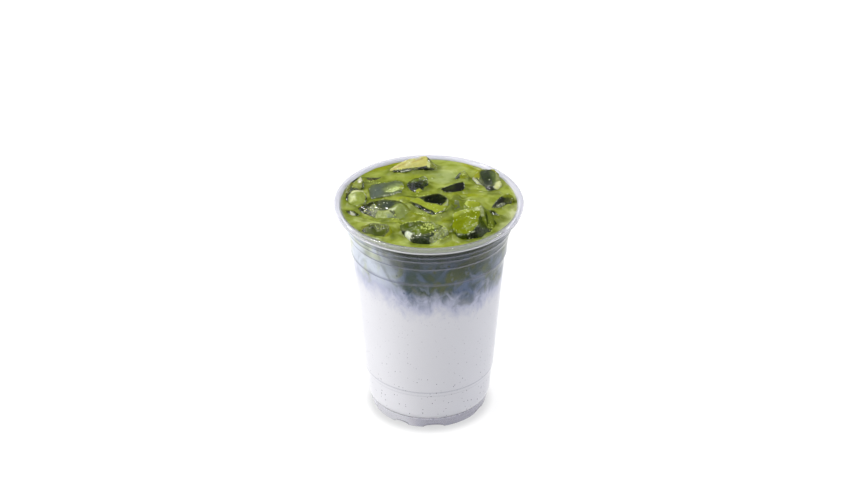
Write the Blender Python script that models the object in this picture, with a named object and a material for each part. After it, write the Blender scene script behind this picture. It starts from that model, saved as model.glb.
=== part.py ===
"""Iced matcha latte in a clear plastic cup.

A tapered cup with a rolled rim, stacking steps and a notched foot, filled
with white milk below and matcha above, and loose ice blocks that float in
the matcha and stand out of it. Metres, +Z up, the origin at the middle of
the foot on the surface the cup stands on.
"""
import math

import bmesh
import bpy
from mathutils import Vector

for old in list(bpy.data.objects):
    bpy.data.objects.remove(old, do_unlink=True)

# ---------------------------------------------------------------- dimensions
MM = 0.001
SEGMENTS = 48            # facets round every turned piece

CUP_HEIGHT = 121.6 * MM
RIM_RADIUS = 49.0 * MM   # outside of the rolled rim
RIM_DROP = 3.4 * MM      # how far the rolled rim hangs down outside
RIM_SKIN = 0.7 * MM      # thickness of the rolled edge
WALL = 0.5 * MM          # thickness of the side wall
FLOOR_TOP = 7.0 * MM     # inside floor of the cup
FLOOR_THICK = 0.8 * MM
FOOT_RADIUS = 29.9 * MM  # outer edge of the ring that touches the table
FOOT_SKIN = 1.0 * MM

NOTCH_ANGLES = (-29.0, 5.0)      # first pair, degrees from the front
NOTCH_WIDTHS = (8.4 * MM, 11.0 * MM)
NOTCH_HEIGHT = 2.3 * MM
NOTCH_PAIRS = 4

GAP = 0.3 * MM           # clearance between touching pieces
LEVEL = 120.3 * MM       # surface of the drink
BLEND = 77.5 * MM        # mean height where milk meets matcha

# Outer side of the wall: (height, radius) in mm, foot to the underside of
# the rim. Straight tapers joined by the small stacking steps.
WALL_OUTSIDE = (
    (0.0, 29.9), (0.6, 30.4), (2.0, 31.0), (5.7, 31.75),   # foot ring
    (6.6, 31.65), (7.7, 32.3), (9.4, 32.85),               # groove, corner
    (21.0, 33.7), (22.5, 34.0), (24.8, 34.62),             # lower step
    (90.4, 39.82), (91.8, 40.12), (95.1, 40.92),           # middle step
    (103.7, 41.6), (105.3, 42.1),                          # upper step
    (108.8, 43.0), (110.6, 43.7), (113.3, 44.3),           # shoulder beads
    (116.9, 45.25), (119.4, 45.9),
)

# Ice blocks: depth below the drink's surface, then the corners of the part
# that shows, each with its plan position and height over the surface (mm).
ICE = (
    (11, ((-21.8, 31.5, -0.1), (-20.6, 34.8, 0.8), (-16.6, 37.7, 1.8),
          (-10, 41, 3.4), (-1.8, 42.7, 4), (0.3, 34, 1.6),
          (4, 37.5, 0.9), (4.6, 35.5, -0.1), (-2.6, 33.4, 0))),
    (13, ((-42.9, -1.4, -0.2), (-43, 5, 1.6), (-40.9, 8.1, 3.2),
          (-37, 8.7, 3.6), (-33.7, 8.7, 2.8), (-32.4, 4.5, 1.6),
          (-32.7, -0.3, 0.2), (-37.5, -3.5, -0.3))),
    (12, ((-43.3, 8.7, 0.6), (-42.6, 13.9, 2.2), (-39.9, 17.9, 3),
          (-37.1, 20.7, 3.6), (-35.5, 21.5, 3.8), (-34.3, 16.4, 3.4),
          (-33.5, 14.3, 1.8), (-35.1, 13.9, 0.6))),
    (8, ((-34.9, 25.2, 0.5), (-24.4, 26.8, 0.5), (-27.2, 23.7, -0.1),
         (-32.4, 22.6, -0.2))),
    (15, ((-31.6, 15.5, 0.3), (-30, 17.6, 0.8), (-22.9, 19.3, 0.9),
          (-17.8, 22.3, 0.9), (-14, 21.3, 0.7), (-12.9, 15.6, 0.9),
          (-14.5, 9.3, 0.9), (-19.6, 7.6, 0.7), (-25.3, 6.3, 0.6),
          (-29.6, 3.8, 0.1), (-31.3, 8.2, 0.1))),
    (15, ((-11.3, 19.3, 0.6), (-7.3, 20.8, 2.8), (-2.8, 22.5, 3.6),
          (-0.7, 21.4, 3), (0, 17.4, 0.8), (-1.5, 14.4, -0.2),
          (-6.9, 9.9, -0.3), (-10.3, 13.2, -0.1))),
    (16, ((-36.5, -4.8, 0), (-32.3, -6.2, 2.4), (-28.7, -3.8, 3.8),
          (-23.1, -2.9, 4.3), (-16.9, -3.7, 3.8), (-15.8, -9.9, 3.4),
          (-20.9, -12.6, 3.2), (-27, -13.1, 3.2), (-34.6, -9.2, -0.2),
          (-28, -14.8, -0.2), (-21.8, -19.5, -0.4), (-16.5, -17.3, -0.2),
          (-12.2, -15.3, -0.2), (-7.9, -8.1, 0), (-10.7, -3.3, 1.2))),
    (9, ((-42.9, -7.9, 0.3), (-40.2, -8.1, 1), (-35.4, -11.7, 0.6),
         (-36.5, -13.3, -0.2), (-40.4, -11.8, -0.2))),
    (14, ((-34.2, -25.9, 1.6), (-31.8, -25.4, 2.6), (-28.3, -26.1, 3.3),
          (-21.7, -27.6, 3.5), (-19.4, -29.2, 3), (-18.4, -30.6, 0.6),
          (-19.3, -35, -0.3), (-22.6, -37, -0.5), (-26.6, -36.1, -0.5),
          (-30.7, -32.3, -0.4), (-34.1, -28.4, -0.3), (-20.6, -31.7, 3),
          (-29.2, -30.6, 3.2))),
    (15, ((-14.8, -25.7, 2.2), (-11.3, -25.5, 3.8), (-4.5, -25.7, 4.6),
          (1.6, -26.9, 4.8), (7.2, -30.3, 4.2), (9.7, -31, 3),
          (10.3, -31.4, 0.8), (9.2, -34.8, -0.4), (5.6, -38.8, -0.6),
          (0.9, -41.4, -0.7), (-4.9, -41.3, -0.7), (-9.2, -37.2, -0.4),
          (-13.8, -30.2, -0.2), (-8.4, -39.5, 2.4), (-1.9, -40, 2.8),
          (3.6, -34.7, 3.6))),
    (17, ((-11.3, 1.4, 0.3), (-4.1, 3.7, 0.8), (0.1, 6.4, 1.3),
          (4.7, 7, 1.7), (9.1, 4.3, 1.6), (10.6, -0.1, 1),
          (10.1, -5.4, 0.8), (7.3, -10.8, 1.4), (2.9, -15.6, 1.8),
          (-2, -10, 1.4), (-7.1, -4.5, 0.9))),
    (14, ((5.4, 13.4, 0.2), (6.9, 13.6, 1.4), (13.1, 15.1, 2.8),
          (18.3, 17, 3.6), (19, 15.4, 2.2), (16.7, 11.6, -0.2),
          (10, 10.9, -0.4), (6.3, 12, -0.3))),
    (10, ((13.6, 25, 0.2), (15.6, 27.8, 1.8), (18.5, 29.8, 2.9),
          (19.8, 26.9, 2.4), (21, 24.8, 0.6), (18.5, 23.7, -0.1),
          (15, 24.1, -0.2))),
    (14, ((22.6, 25, 0.8), (24.8, 27, 2.8), (26.9, 28.2, 4.4),
          (30, 26.4, 4.2), (34, 27, 4.9), (36.5, 24.5, 3.9),
          (38.1, 17.7, 1.2), (36.1, 14.1, -0.2), (31.9, 12.1, -0.4),
          (28.8, 14.4, -0.2), (25.5, 19.2, 0.2))),
    (12, ((31.7, -5.3, 0), (33.8, -2.2, 1.6), (36.5, 1.1, 3),
          (39.1, 3, 3.9), (41.2, 3.7, 4.2), (43.5, 2.2, 3.2),
          (44.3, 1.4, 1.8), (42.7, -0.3, 0.2), (38, -3.5, -0.3),
          (34.8, -6, -0.4))),
    (17, ((26.9, -13.3, 6.4), (21, -15.2, 5.4), (16.4, -15.7, 4.4),
          (12.5, -15.5, 2.8), (11.7, -26.7, 1.8), (13, -30.8, 1.6),
          (14.7, -35.1, 1.9), (18.2, -37, 2.6), (22.8, -34.3, 3.8),
          (25.6, -29.8, 4.8), (13.3, -29.7, -0.2), (16.2, -36.3, -0.6),
          (21.2, -36.7, -0.7), (27.3, -34, -0.6), (32.5, -28.8, -0.4),
          (34.7, -20.7, 0), (31.5, -12.9, 2.8))),
    (13, ((11.9, -2.1, 0.4), (13.5, 1.7, 0.8), (16.2, 1.4, 0.8),
          (16.2, -6.7, 0.7), (12.3, -8.9, 0.2))),
    (12, ((18.1, -2.2, 1), (19.7, -0.3, 2.2), (23.8, -0.9, 2.4),
          (26.9, -2.2, 1.6), (26.3, -4.7, 0.4), (20.1, -6.4, 0.2))),
    (9, ((31.2, -7.6, 0.4), (33.2, -8.5, 0.8), (38.4, -16.5, 0.3),
         (36.6, -19, -0.2), (33.6, -13.9, -0.1))),
)
ICE_TAPER = 0.80             # foot of a block against its top
ICE_WALL_GAP = 0.9 * MM      # left between a block and the cup's wall

# -------------------------------------------------------------------- looks
LOOKS = {                # colour, roughness, transmission
    "cup": ((0.92, 0.92, 0.96, 1.0), 0.05, 1.0),
    "milk": ((0.86, 0.85, 0.86, 1.0), 0.30, 0.0),
    "matcha": ((0.37, 0.45, 0.10, 1.0), 0.22, 0.0),
    "ice": ((0.74, 0.82, 0.60, 1.0), 0.06, 0.8),
}


def make_material(name):
    """Return a plain material for one kind of piece."""
    colour, rough, through = LOOKS[name]
    mat = bpy.data.materials.new(name)
    mat.use_nodes = True
    shader = mat.node_tree.nodes["Principled BSDF"]
    shader.inputs["Base Color"].default_value = colour
    shader.inputs["Roughness"].default_value = rough
    shader.inputs["Metallic"].default_value = 0.0
    shader.inputs["Transmission Weight"].default_value = through
    mat.diffuse_color = colour
    return mat


def add_object(name, bm, mat=None, smooth=False):
    """Turn a bmesh into a named object in the scene."""
    mesh = bpy.data.meshes.new(name)
    bmesh.ops.recalc_face_normals(bm, faces=bm.faces)
    bm.to_mesh(mesh)
    bm.free()
    if smooth:
        mesh.shade_smooth()
        mesh.set_sharp_from_angle(angle=math.radians(35.0))
    if mat is not None:
        mesh.materials.append(mat)
    obj = bpy.data.objects.new(name, mesh)
    bpy.context.scene.collection.objects.link(obj)
    return obj


# ---------------------------------------------------------------------- cup
def outer_radius(z):
    """Radius of the wall's outer side at height z."""
    h = z / MM
    if h <= WALL_OUTSIDE[0][0]:
        return WALL_OUTSIDE[0][1] * MM
    for (h0, r0), (h1, r1) in zip(WALL_OUTSIDE, WALL_OUTSIDE[1:]):
        if h <= h1:
            return (r0 + (r1 - r0) * (h - h0) / (h1 - h0)) * MM
    return WALL_OUTSIDE[-1][1] * MM


def inner_radius(z):
    """Radius of the wall's inner side at height z."""
    return outer_radius(z) - WALL


def cup_profile():
    """Half section of the cup, from the axis below to the axis above."""
    points = [(0.0, FLOOR_TOP - FLOOR_THICK)]
    inside = FOOT_RADIUS - FOOT_SKIN
    points += [(inside + 0.6 * MM, FLOOR_TOP - FLOOR_THICK),
               (inside + 0.9 * MM, FLOOR_TOP - FLOOR_THICK - 1.0 * MM),
               (inside + 0.6 * MM, 2.0 * MM),
               (inside, 0.0)]
    points += [(r * MM, h * MM) for h, r in WALL_OUTSIDE]
    # rolled rim: out, up round the bead and over to the inside
    low = CUP_HEIGHT - RIM_DROP
    top = CUP_HEIGHT
    points += [
        (outer_radius(top) + 0.7 * MM, top - 1.0 * MM),
        (RIM_RADIUS - 1.2 * MM, top - 1.0 * MM),
        (RIM_RADIUS - RIM_SKIN - 0.5 * MM, low + 1.0 * MM),
        (RIM_RADIUS - 1.75 * MM, low + 0.1 * MM),
        (RIM_RADIUS - 0.9 * MM, low),
        (RIM_RADIUS - 0.45 * MM, top - 2.5 * MM),
        (RIM_RADIUS, top - 1.3 * MM),
        (RIM_RADIUS - 0.5 * MM, top - 0.4 * MM),
        (RIM_RADIUS - 1.6 * MM, top),
        (outer_radius(top) + 0.5 * MM, top - 0.3 * MM),
    ]
    # down the inner side to the floor
    for h, _ in reversed(WALL_OUTSIDE):
        if h * MM > FLOOR_TOP + 1.4 * MM:
            points.append((inner_radius(h * MM), h * MM))
    points += [(inner_radius(FLOOR_TOP) - 0.25 * MM, FLOOR_TOP + 0.5 * MM),
               (inner_radius(FLOOR_TOP) - 1.2 * MM, FLOOR_TOP),
               (0.0, FLOOR_TOP)]
    return points


def spin_profile(points):
    """Turn a half section once round the Z axis into a closed body."""
    bm = bmesh.new()
    verts = [bm.verts.new((r, 0.0, z)) for r, z in points]
    edges = [bm.edges.new(pair) for pair in zip(verts, verts[1:])]
    bmesh.ops.spin(bm, geom=verts + edges, cent=(0, 0, 0), axis=(0, 0, 1),
                   angle=math.tau, steps=SEGMENTS, use_merge=False,
                   use_duplicate=False)
    bmesh.ops.remove_doubles(bm, verts=bm.verts, dist=0.00001)
    return bm


def notch_cutter(index, angle, width):
    """Arched cutter through the foot ring, angle measured from the front."""
    bm = bmesh.new()
    steps = 6
    reach = (22.0 * MM, 36.0 * MM)
    rings = []
    for r in reach:
        ring = []
        for i in range(steps + 1):
            t = math.pi * i / steps
            ring.append(bm.verts.new((0.5 * width * math.cos(t), -r,
                                      NOTCH_HEIGHT * math.sin(t))))
        ring.append(bm.verts.new((-0.5 * width, -r, -2.0 * MM)))
        ring.append(bm.verts.new((0.5 * width, -r, -2.0 * MM)))
        rings.append(ring)
    bm.faces.new(rings[0])
    bm.faces.new(list(reversed(rings[1])))
    count = len(rings[0])
    for i in range(count):
        j = (i + 1) % count
        bm.faces.new((rings[0][j], rings[0][i], rings[1][i], rings[1][j]))
    cutter = add_object("notch_cutter_%d" % index, bm)
    cutter.rotation_euler = (0.0, 0.0, math.radians(angle))
    cutter.hide_render = True
    cutter.display_type = "WIRE"
    return cutter


def cut(target, cutter):
    """Subtract one object from another, kept as a modifier."""
    mod = target.modifiers.new("cut_" + cutter.name, "BOOLEAN")
    mod.operation = "DIFFERENCE"
    mod.solver = "EXACT"
    mod.object = cutter
    return mod


cup = add_object("cup", spin_profile(cup_profile()), make_material("cup"),
                 smooth=True)
number = 0
for pair in range(NOTCH_PAIRS):
    for first, width in zip(NOTCH_ANGLES, NOTCH_WIDTHS):
        number += 1
        cut(cup, notch_cutter(number, first + 360.0 * pair / NOTCH_PAIRS,
                              width))


# -------------------------------------------------------------------- drink
def blend_height(x, y):
    """Height of the uneven border between milk and matcha."""
    r = math.hypot(x, y) / (38.0 * MM)
    a = math.atan2(x, -y)                      # 0 at the front
    wave = (3.4 * math.cos(2.0 * a) + 1.2 * math.cos(5.0 * a + 0.6)
            + 0.8 * math.sin(9.0 * a + 0.4) + 0.7 * math.sin(3.0 * a))
    return BLEND + wave * min(1.0, r) ** 2 * MM


def drink_layer(levels, low, high, disc_rings, low_radius=None):
    """Closed body between two heights that follows the inside of the cup.

    levels are fixed heights of the side in between, or (height, radius);
    low and high give the height of the lower and upper face at a point of
    the plan, and low_radius bounds a lower face that stands on the floor.
    """
    bm = bmesh.new()

    def ring(radius, height):
        made = []
        for i in range(SEGMENTS):
            t = math.tau * i / SEGMENTS
            x, y = radius * math.cos(t), radius * math.sin(t)
            made.append(bm.verts.new((x, y, height(x, y))))
        return made

    def edge_radius(height):
        """Radius at which a face meets the wall, worked out at one angle."""
        made = []
        for i in range(SEGMENTS):
            t = math.tau * i / SEGMENTS
            r = inner_radius(BLEND) - GAP
            for _ in range(6):
                z = height(r * math.cos(t), r * math.sin(t))
                r = inner_radius(z) - GAP
            if height is low and low_radius is not None:
                r = low_radius
            made.append((t, r))
        return made

    def rim_ring(height):
        made = []
        for t, r in edge_radius(height):
            x, y = r * math.cos(t), r * math.sin(t)
            made.append(bm.verts.new((x, y, height(x, y))))
        return made

    rings = []
    inner = (inner_radius(BLEND) - GAP) * 0.99
    low_centre = bm.verts.new((0, 0, low(0, 0)))
    for k in range(1, disc_rings[0] + 1):
        part = k / (disc_rings[0] + 1.0)
        rings.append(ring(part * min(inner, edge_radius(low)[0][1]), low))
    rings.append(rim_ring(low))
    for level in levels:
        z, r = (level if isinstance(level, tuple)
                else (level, inner_radius(level) - GAP))
        rings.append(ring(r, lambda x, y, z=z: z))
    rings.append(rim_ring(high))
    for k in range(disc_rings[1], 0, -1):
        part = k / (disc_rings[1] + 1.0)
        rings.append(ring(part * min(inner, edge_radius(high)[0][1]), high))
    high_centre = bm.verts.new((0, 0, high(0, 0)))
    for i in range(SEGMENTS):
        j = (i + 1) % SEGMENTS
        bm.faces.new((low_centre, rings[0][j], rings[0][i]))
        bm.faces.new((high_centre, rings[-1][i], rings[-1][j]))
        for a, b in zip(rings, rings[1:]):
            bm.faces.new((a[i], a[j], b[j], b[i]))
    return bm


milk = add_object("milk", drink_layer(
    [(8.4 * MM, 31.2 * MM), 9.8 * MM, 21.0 * MM, 22.5 * MM, 24.8 * MM,
     49.0 * MM, 67.4 * MM],
    lambda x, y: FLOOR_TOP + GAP,
    lambda x, y: blend_height(x, y) - 0.5 * GAP, (0, 4),
    low_radius=29.8 * MM),
    make_material("milk"), smooth=True)
matcha = add_object("matcha", drink_layer(
    [87.8 * MM, 90.4 * MM, 91.8 * MM, 95.1 * MM, 103.7 * MM, 105.3 * MM,
     108.8 * MM, 110.6 * MM, 113.3 * MM, 117.0 * MM],
    lambda x, y: blend_height(x, y) + 0.5 * GAP,
    lambda x, y: LEVEL, (4, 0)),
    make_material("matcha"), smooth=True)


# ---------------------------------------------------------------------- ice
def block_points(index):
    """Corner points of one ice block: what shows, and its smaller foot."""
    down, corners = ICE[index]
    top = [Vector((x, y, up)) * MM + Vector((0.0, 0.0, LEVEL))
           for x, y, up in corners]
    middle = sum(top, Vector()) / len(top)
    points = []
    for p in top:
        foot = middle + (p - middle) * ICE_TAPER
        foot.z = LEVEL - down * MM
        for q in (p.copy(), foot):
            limit = inner_radius(min(q.z, CUP_HEIGHT)) - ICE_WALL_GAP
            r = math.hypot(q.x, q.y)
            if r > limit:
                q.x *= limit / r
                q.y *= limit / r
            points.append(q)
    return points


def hull(points):
    """Closed convex body round a set of points."""
    bm = bmesh.new()
    verts = [bm.verts.new(p) for p in points]
    made = bmesh.ops.convex_hull(bm, input=verts)
    drop = [g for g in made["geom_interior"] + made["geom_unused"]
            if isinstance(g, bmesh.types.BMVert)]
    if drop:
        bmesh.ops.delete(bm, geom=list(set(drop)), context="VERTS")
    return bm


def ice_body(index, grow=0.0):
    """One ice block, or the hollow that holds it when it is grown."""
    bm = hull(block_points(index))
    bmesh.ops.remove_doubles(bm, verts=bm.verts, dist=0.0001)
    bmesh.ops.dissolve_limit(bm, angle_limit=math.radians(1.5),
                             verts=bm.verts, edges=bm.edges)
    bm.normal_update()
    points = []
    for v in bm.verts:
        around = [f.normal.copy() for f in v.link_faces]
        out = sum(around, Vector()).normalized()
        flattest = max(0.30, min(out.dot(n) for n in around))
        points.append(v.co + out * (grow / flattest))
    bm.free()
    return hull(points)


ice_look = make_material("ice")
for index in range(len(ICE)):
    add_object("ice_%02d" % (index + 1), ice_body(index), ice_look)
    cutter = add_object("ice_cutter_%02d" % (index + 1),
                        ice_body(index, GAP))
    cutter.hide_render = True
    cutter.display_type = "WIRE"
    cut(matcha, cutter)
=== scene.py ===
"""Looks of an iced matcha latte in a clear plastic cup.

Everything is in metres, +Z up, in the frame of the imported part; the numbers
in the tables below are millimetres, as named there.
"""
import math
import random

import bmesh
import bpy
import numpy as np
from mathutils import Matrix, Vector
from mathutils.bvhtree import BVHTree


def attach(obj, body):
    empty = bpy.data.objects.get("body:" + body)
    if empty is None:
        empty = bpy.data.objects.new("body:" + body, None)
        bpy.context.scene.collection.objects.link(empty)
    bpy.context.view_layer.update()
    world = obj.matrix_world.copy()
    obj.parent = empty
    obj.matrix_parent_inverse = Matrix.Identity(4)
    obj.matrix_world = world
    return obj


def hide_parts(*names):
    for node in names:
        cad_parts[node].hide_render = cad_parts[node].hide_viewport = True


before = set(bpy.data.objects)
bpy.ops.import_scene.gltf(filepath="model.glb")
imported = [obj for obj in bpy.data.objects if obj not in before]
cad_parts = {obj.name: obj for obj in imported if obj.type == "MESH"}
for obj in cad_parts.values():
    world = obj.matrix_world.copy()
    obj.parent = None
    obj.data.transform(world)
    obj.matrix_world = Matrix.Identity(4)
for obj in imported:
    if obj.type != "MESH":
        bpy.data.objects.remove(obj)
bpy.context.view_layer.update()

MM = 0.001
rng = np.random.default_rng(7)

# ------------------------------------------------------------------- camera
# Long lens, 31 degrees down, aimed at the axis of the cup near its rim.
CAM_TILT = math.radians(31.14)
CAM_DIST = 1.31831
CAM_AIM = Vector((0.0006, 0.0, 0.09681))
CAM_LENS = 105.794

cam_data = bpy.data.cameras.new("camera")
cam_data.sensor_width = 36.0
cam_data.lens = CAM_LENS
cam_data.clip_start = 0.05
cam_data.clip_end = 20.0
cam = bpy.data.objects.new("camera", cam_data)
cam.location = CAM_AIM + Vector((0.0, -math.cos(CAM_TILT),
                                 math.sin(CAM_TILT))) * CAM_DIST
cam.rotation_euler = (math.pi / 2 - CAM_TILT, 0.0, 0.0)
bpy.context.scene.collection.objects.link(cam)
bpy.context.scene.camera = cam

scene = bpy.context.scene
scene.view_settings.view_transform = "Standard"
scene.view_settings.look = "None"
scene.view_settings.exposure = 0.0
scene.view_settings.gamma = 1.0
scene.cycles.max_bounces = 24
scene.cycles.diffuse_bounces = 5
scene.cycles.glossy_bounces = 8
scene.cycles.transmission_bounces = 20
scene.cycles.transparent_max_bounces = 16
scene.cycles.sample_clamp_indirect = 8.0
scene.cycles.blur_glossy = 0.5


# --------------------------------------------------------------- node helps
def new_material(name):
    """Return a material, its node tree and its Principled shader."""
    mat = bpy.data.materials.new(name)
    mat.use_nodes = True
    tree = mat.node_tree
    return mat, tree, tree.nodes["Principled BSDF"]


def node(tree, kind, **settings):
    """Add a node; plain keys set properties, in_ keys set sockets."""
    made = tree.nodes.new(kind)
    for key, value in settings.items():
        if key.startswith("in_"):
            made.inputs[key[3:].replace("_", " ")].default_value = value
        else:
            setattr(made, key, value)
    return made


def link(tree, a, b):
    tree.links.new(a, b)


def math_node(tree, op, a, b=None, c=None, clamp=False):
    """Maths on sockets or numbers."""
    made = tree.nodes.new("ShaderNodeMath")
    made.operation = op
    made.use_clamp = clamp
    for i, v in enumerate((a, b, c)):
        if v is None:
            continue
        if isinstance(v, (int, float)):
            made.inputs[i].default_value = v
        else:
            tree.links.new(v, made.inputs[i])
    return made.outputs[0]


def mix_colour(tree, fac, a, b):
    """Blend two colours, each a socket or an RGB triple."""
    made = tree.nodes.new("ShaderNodeMix")
    made.data_type = "RGBA"
    made.clamp_factor = True
    if isinstance(fac, (int, float)):
        made.inputs[0].default_value = fac
    else:
        tree.links.new(fac, made.inputs[0])
    for i, v in ((6, a), (7, b)):
        if isinstance(v, tuple):
            made.inputs[i].default_value = (*v, 1.0)
        else:
            tree.links.new(v, made.inputs[i])
    return made.outputs[2]


def ramp(tree, fac, low, high):
    """Smooth step of a value between two limits."""
    made = tree.nodes.new("ShaderNodeMapRange")
    made.interpolation_type = "SMOOTHSTEP"
    made.inputs["From Min"].default_value = low
    made.inputs["From Max"].default_value = high
    tree.links.new(fac, made.inputs["Value"])
    return made.outputs["Result"]


def place(tree, scale=(1.0, 1.0, 1.0), offset=(0.0, 0.0, 0.0)):
    """Object coordinates in millimetres, scaled and moved."""
    coord = tree.nodes.new("ShaderNodeTexCoord")
    mapping = tree.nodes.new("ShaderNodeMapping")
    mapping.inputs["Scale"].default_value = [1000.0 * s for s in scale]
    mapping.inputs["Location"].default_value = offset
    tree.links.new(coord.outputs["Object"], mapping.inputs["Vector"])
    return mapping.outputs["Vector"]


def noise_tex(tree, vector, scale, detail=3.0, rough=0.55, distort=0.0):
    made = tree.nodes.new("ShaderNodeTexNoise")
    made.inputs["Scale"].default_value = scale
    made.inputs["Detail"].default_value = detail
    made.inputs["Roughness"].default_value = rough
    made.inputs["Distortion"].default_value = distort
    tree.links.new(vector, made.inputs["Vector"])
    return made.outputs["Fac"]


def attribute(tree, name):
    made = tree.nodes.new("ShaderNodeAttribute")
    made.attribute_name = name
    return made.outputs["Fac"]


def srgb(r, g, b):
    """Linear colour of an 8-bit sRGB one."""
    out = []
    for v in (r, g, b):
        v = v / 255.0
        out.append(v / 12.92 if v <= 0.04045 else ((v + 0.055) / 1.055) ** 2.4)
    return tuple(out)


# --------------------------------------------------------------- mesh helps
def mesh_object(name, verts, faces, mat=None, smooth=True, sharp=None):
    """Object from arrays of points (m) and faces."""
    mesh = bpy.data.meshes.new(name)
    mesh.from_pydata([tuple(v) for v in verts], [], [tuple(f) for f in faces])
    mesh.validate()
    if smooth:
        mesh.shade_smooth()
        if sharp is not None:
            mesh.set_sharp_from_angle(angle=math.radians(sharp))
    if mat is not None:
        mesh.materials.append(mat)
    obj = bpy.data.objects.new(name, mesh)
    bpy.context.scene.collection.objects.link(obj)
    return obj


def revolve(name, profile, segments, mat=None, sharp=None):
    """Closed body turned from a half section (radius, height) in metres.

    The first and last points lie on the axis.
    """
    pts = np.array(profile[1:-1])
    t = np.arange(segments) * math.tau / segments
    ring = np.stack([np.cos(t), np.sin(t)], 1)
    verts = [(0.0, 0.0, profile[0][1])]
    for r, z in pts:
        verts.extend((r * c, r * s, z) for c, s in ring)
    verts.append((0.0, 0.0, profile[-1][1]))
    last = len(verts) - 1
    faces = []
    n = segments
    for i in range(n):
        j = (i + 1) % n
        faces.append((0, 1 + j, 1 + i))
        faces.append((last, last - n + i, last - n + j))
        for k in range(len(pts) - 1):
            a = 1 + k * n
            b = a + n
            faces.append((a + i, a + j, b + j, b + i))
    return mesh_object(name, verts, faces, mat, sharp=sharp)


def apply_modifiers(obj):
    """Replace an object's mesh by its evaluated one."""
    graph = bpy.context.evaluated_depsgraph_get()
    made = bpy.data.meshes.new_from_object(obj.evaluated_get(graph))
    mats = [m for m in obj.data.materials]
    obj.modifiers.clear()
    old = obj.data
    obj.data = made
    if not made.materials:
        for m in mats:
            made.materials.append(m)
    bpy.data.meshes.remove(old)
    return obj


def coords(mesh):
    out = np.empty(len(mesh.vertices) * 3, dtype=np.float32)
    mesh.vertices.foreach_get("co", out)
    return out.reshape(-1, 3).astype(float)


def set_coords(mesh, co):
    mesh.vertices.foreach_set("co", co.astype(np.float32).ravel())
    mesh.update()


def set_attribute(mesh, name, values):
    att = mesh.attributes.new(name, "FLOAT", "POINT")
    att.data.foreach_set("value", np.asarray(values, dtype=np.float32))


def boolean(target, other, operation):
    mod = target.modifiers.new("cut", "BOOLEAN")
    mod.operation = operation
    mod.solver = "MANIFOLD"
    mod.object = other
    apply_modifiers(target)


def drop(obj):
    mesh = obj.data
    bpy.data.objects.remove(obj, do_unlink=True)
    bpy.data.meshes.remove(mesh)


def smoothstep(a, b, x):
    t = np.clip((x - a) / (b - a), 0.0, 1.0)
    return t * t * (3.0 - 2.0 * t)


class Lattice:
    """Smooth repeatable noise on arrays of points, value about -1 to 1."""

    def __init__(self, seed):
        gen = np.random.default_rng(seed)
        self.n = 64
        self.table = gen.uniform(-1.0, 1.0, (self.n, self.n, self.n))

    def __call__(self, p, scale, octaves=1, gain=0.5):
        total = np.zeros(len(p))
        amp, norm = 1.0, 0.0
        q = np.asarray(p) / scale + 17.3
        for _ in range(octaves):
            base = np.floor(q).astype(int)
            f = q - base
            f = f * f * f * (f * (f * 6 - 15) + 10)
            value = np.zeros(len(q))
            for dx in (0, 1):
                wx = f[:, 0] if dx else 1 - f[:, 0]
                for dy in (0, 1):
                    wy = f[:, 1] if dy else 1 - f[:, 1]
                    for dz in (0, 1):
                        wz = f[:, 2] if dz else 1 - f[:, 2]
                        cell = self.table[(base[:, 0] + dx) % self.n,
                                          (base[:, 1] + dy) % self.n,
                                          (base[:, 2] + dz) % self.n]
                        value += cell * wx * wy * wz
            total += amp * value
            norm += amp
            amp *= gain
            q = q * 2.03 + 5.1
        return total / norm


# -------------------------------------------------------------------- world
world = bpy.data.worlds.new("studio")
scene.world = world
world.use_nodes = True
wt = world.node_tree
back = wt.nodes["Background"]
direction = wt.nodes.new("ShaderNodeTexCoord").outputs["Generated"]

# Soft lights: direction, inner and outer half angle (degrees), colour, power
LIGHTS = (
    ((-0.90, -0.16, 0.40), 20.0, 46.0, (1.0, 0.99, 0.97), 4.0),
    ((0.93, -0.06, 0.34), 14.0, 44.0, (0.97, 0.98, 1.04), 2.1),
    ((-0.28, 0.42, 0.86), 9.0, 21.0, (0.97, 0.98, 1.06), 2.2),
    ((0.10, -0.25, 0.96), 12.0, 40.0, (1.0, 1.0, 0.98), 1.3),
    ((-0.18, 0.62, 0.76), 1.6, 3.2, (1.0, 1.0, 1.0), 70.0),
    ((0.42, 0.50, 0.75), 1.4, 2.8, (1.0, 1.0, 1.0), 50.0),
    ((-0.62, 0.50, 0.60), 1.4, 2.8, (1.0, 1.0, 1.0), 45.0),
    ((0.12, 0.30, 0.95), 1.4, 2.8, (1.0, 1.0, 1.0), 45.0),
    ((-0.50, 0.05, 0.86), 1.4, 2.8, (1.0, 1.0, 1.0), 40.0),
)
SKY = (0.33, 0.335, 0.35)
SKY_LOW_FRONT = (0.16, 0.16, 0.17)
SKY_LOW_BACK = (0.09, 0.09, 0.10)


def add_light(total, axis, inner, outer, colour, power):
    """Add one soft round light to the sky."""
    dot = node(wt, "ShaderNodeVectorMath", operation="DOT_PRODUCT")
    wt.links.new(direction, dot.inputs[0])
    dot.inputs[1].default_value = Vector(axis).normalized()
    spot = ramp(wt, dot.outputs["Value"], math.cos(math.radians(outer)),
                math.cos(math.radians(inner)))
    made = node(wt, "ShaderNodeVectorMath", operation="MULTIPLY_ADD")
    wt.links.new(spot, made.inputs[0])
    made.inputs[1].default_value = [c * power for c in colour]
    wt.links.new(total, made.inputs[2])
    return made.outputs[0]


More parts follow.
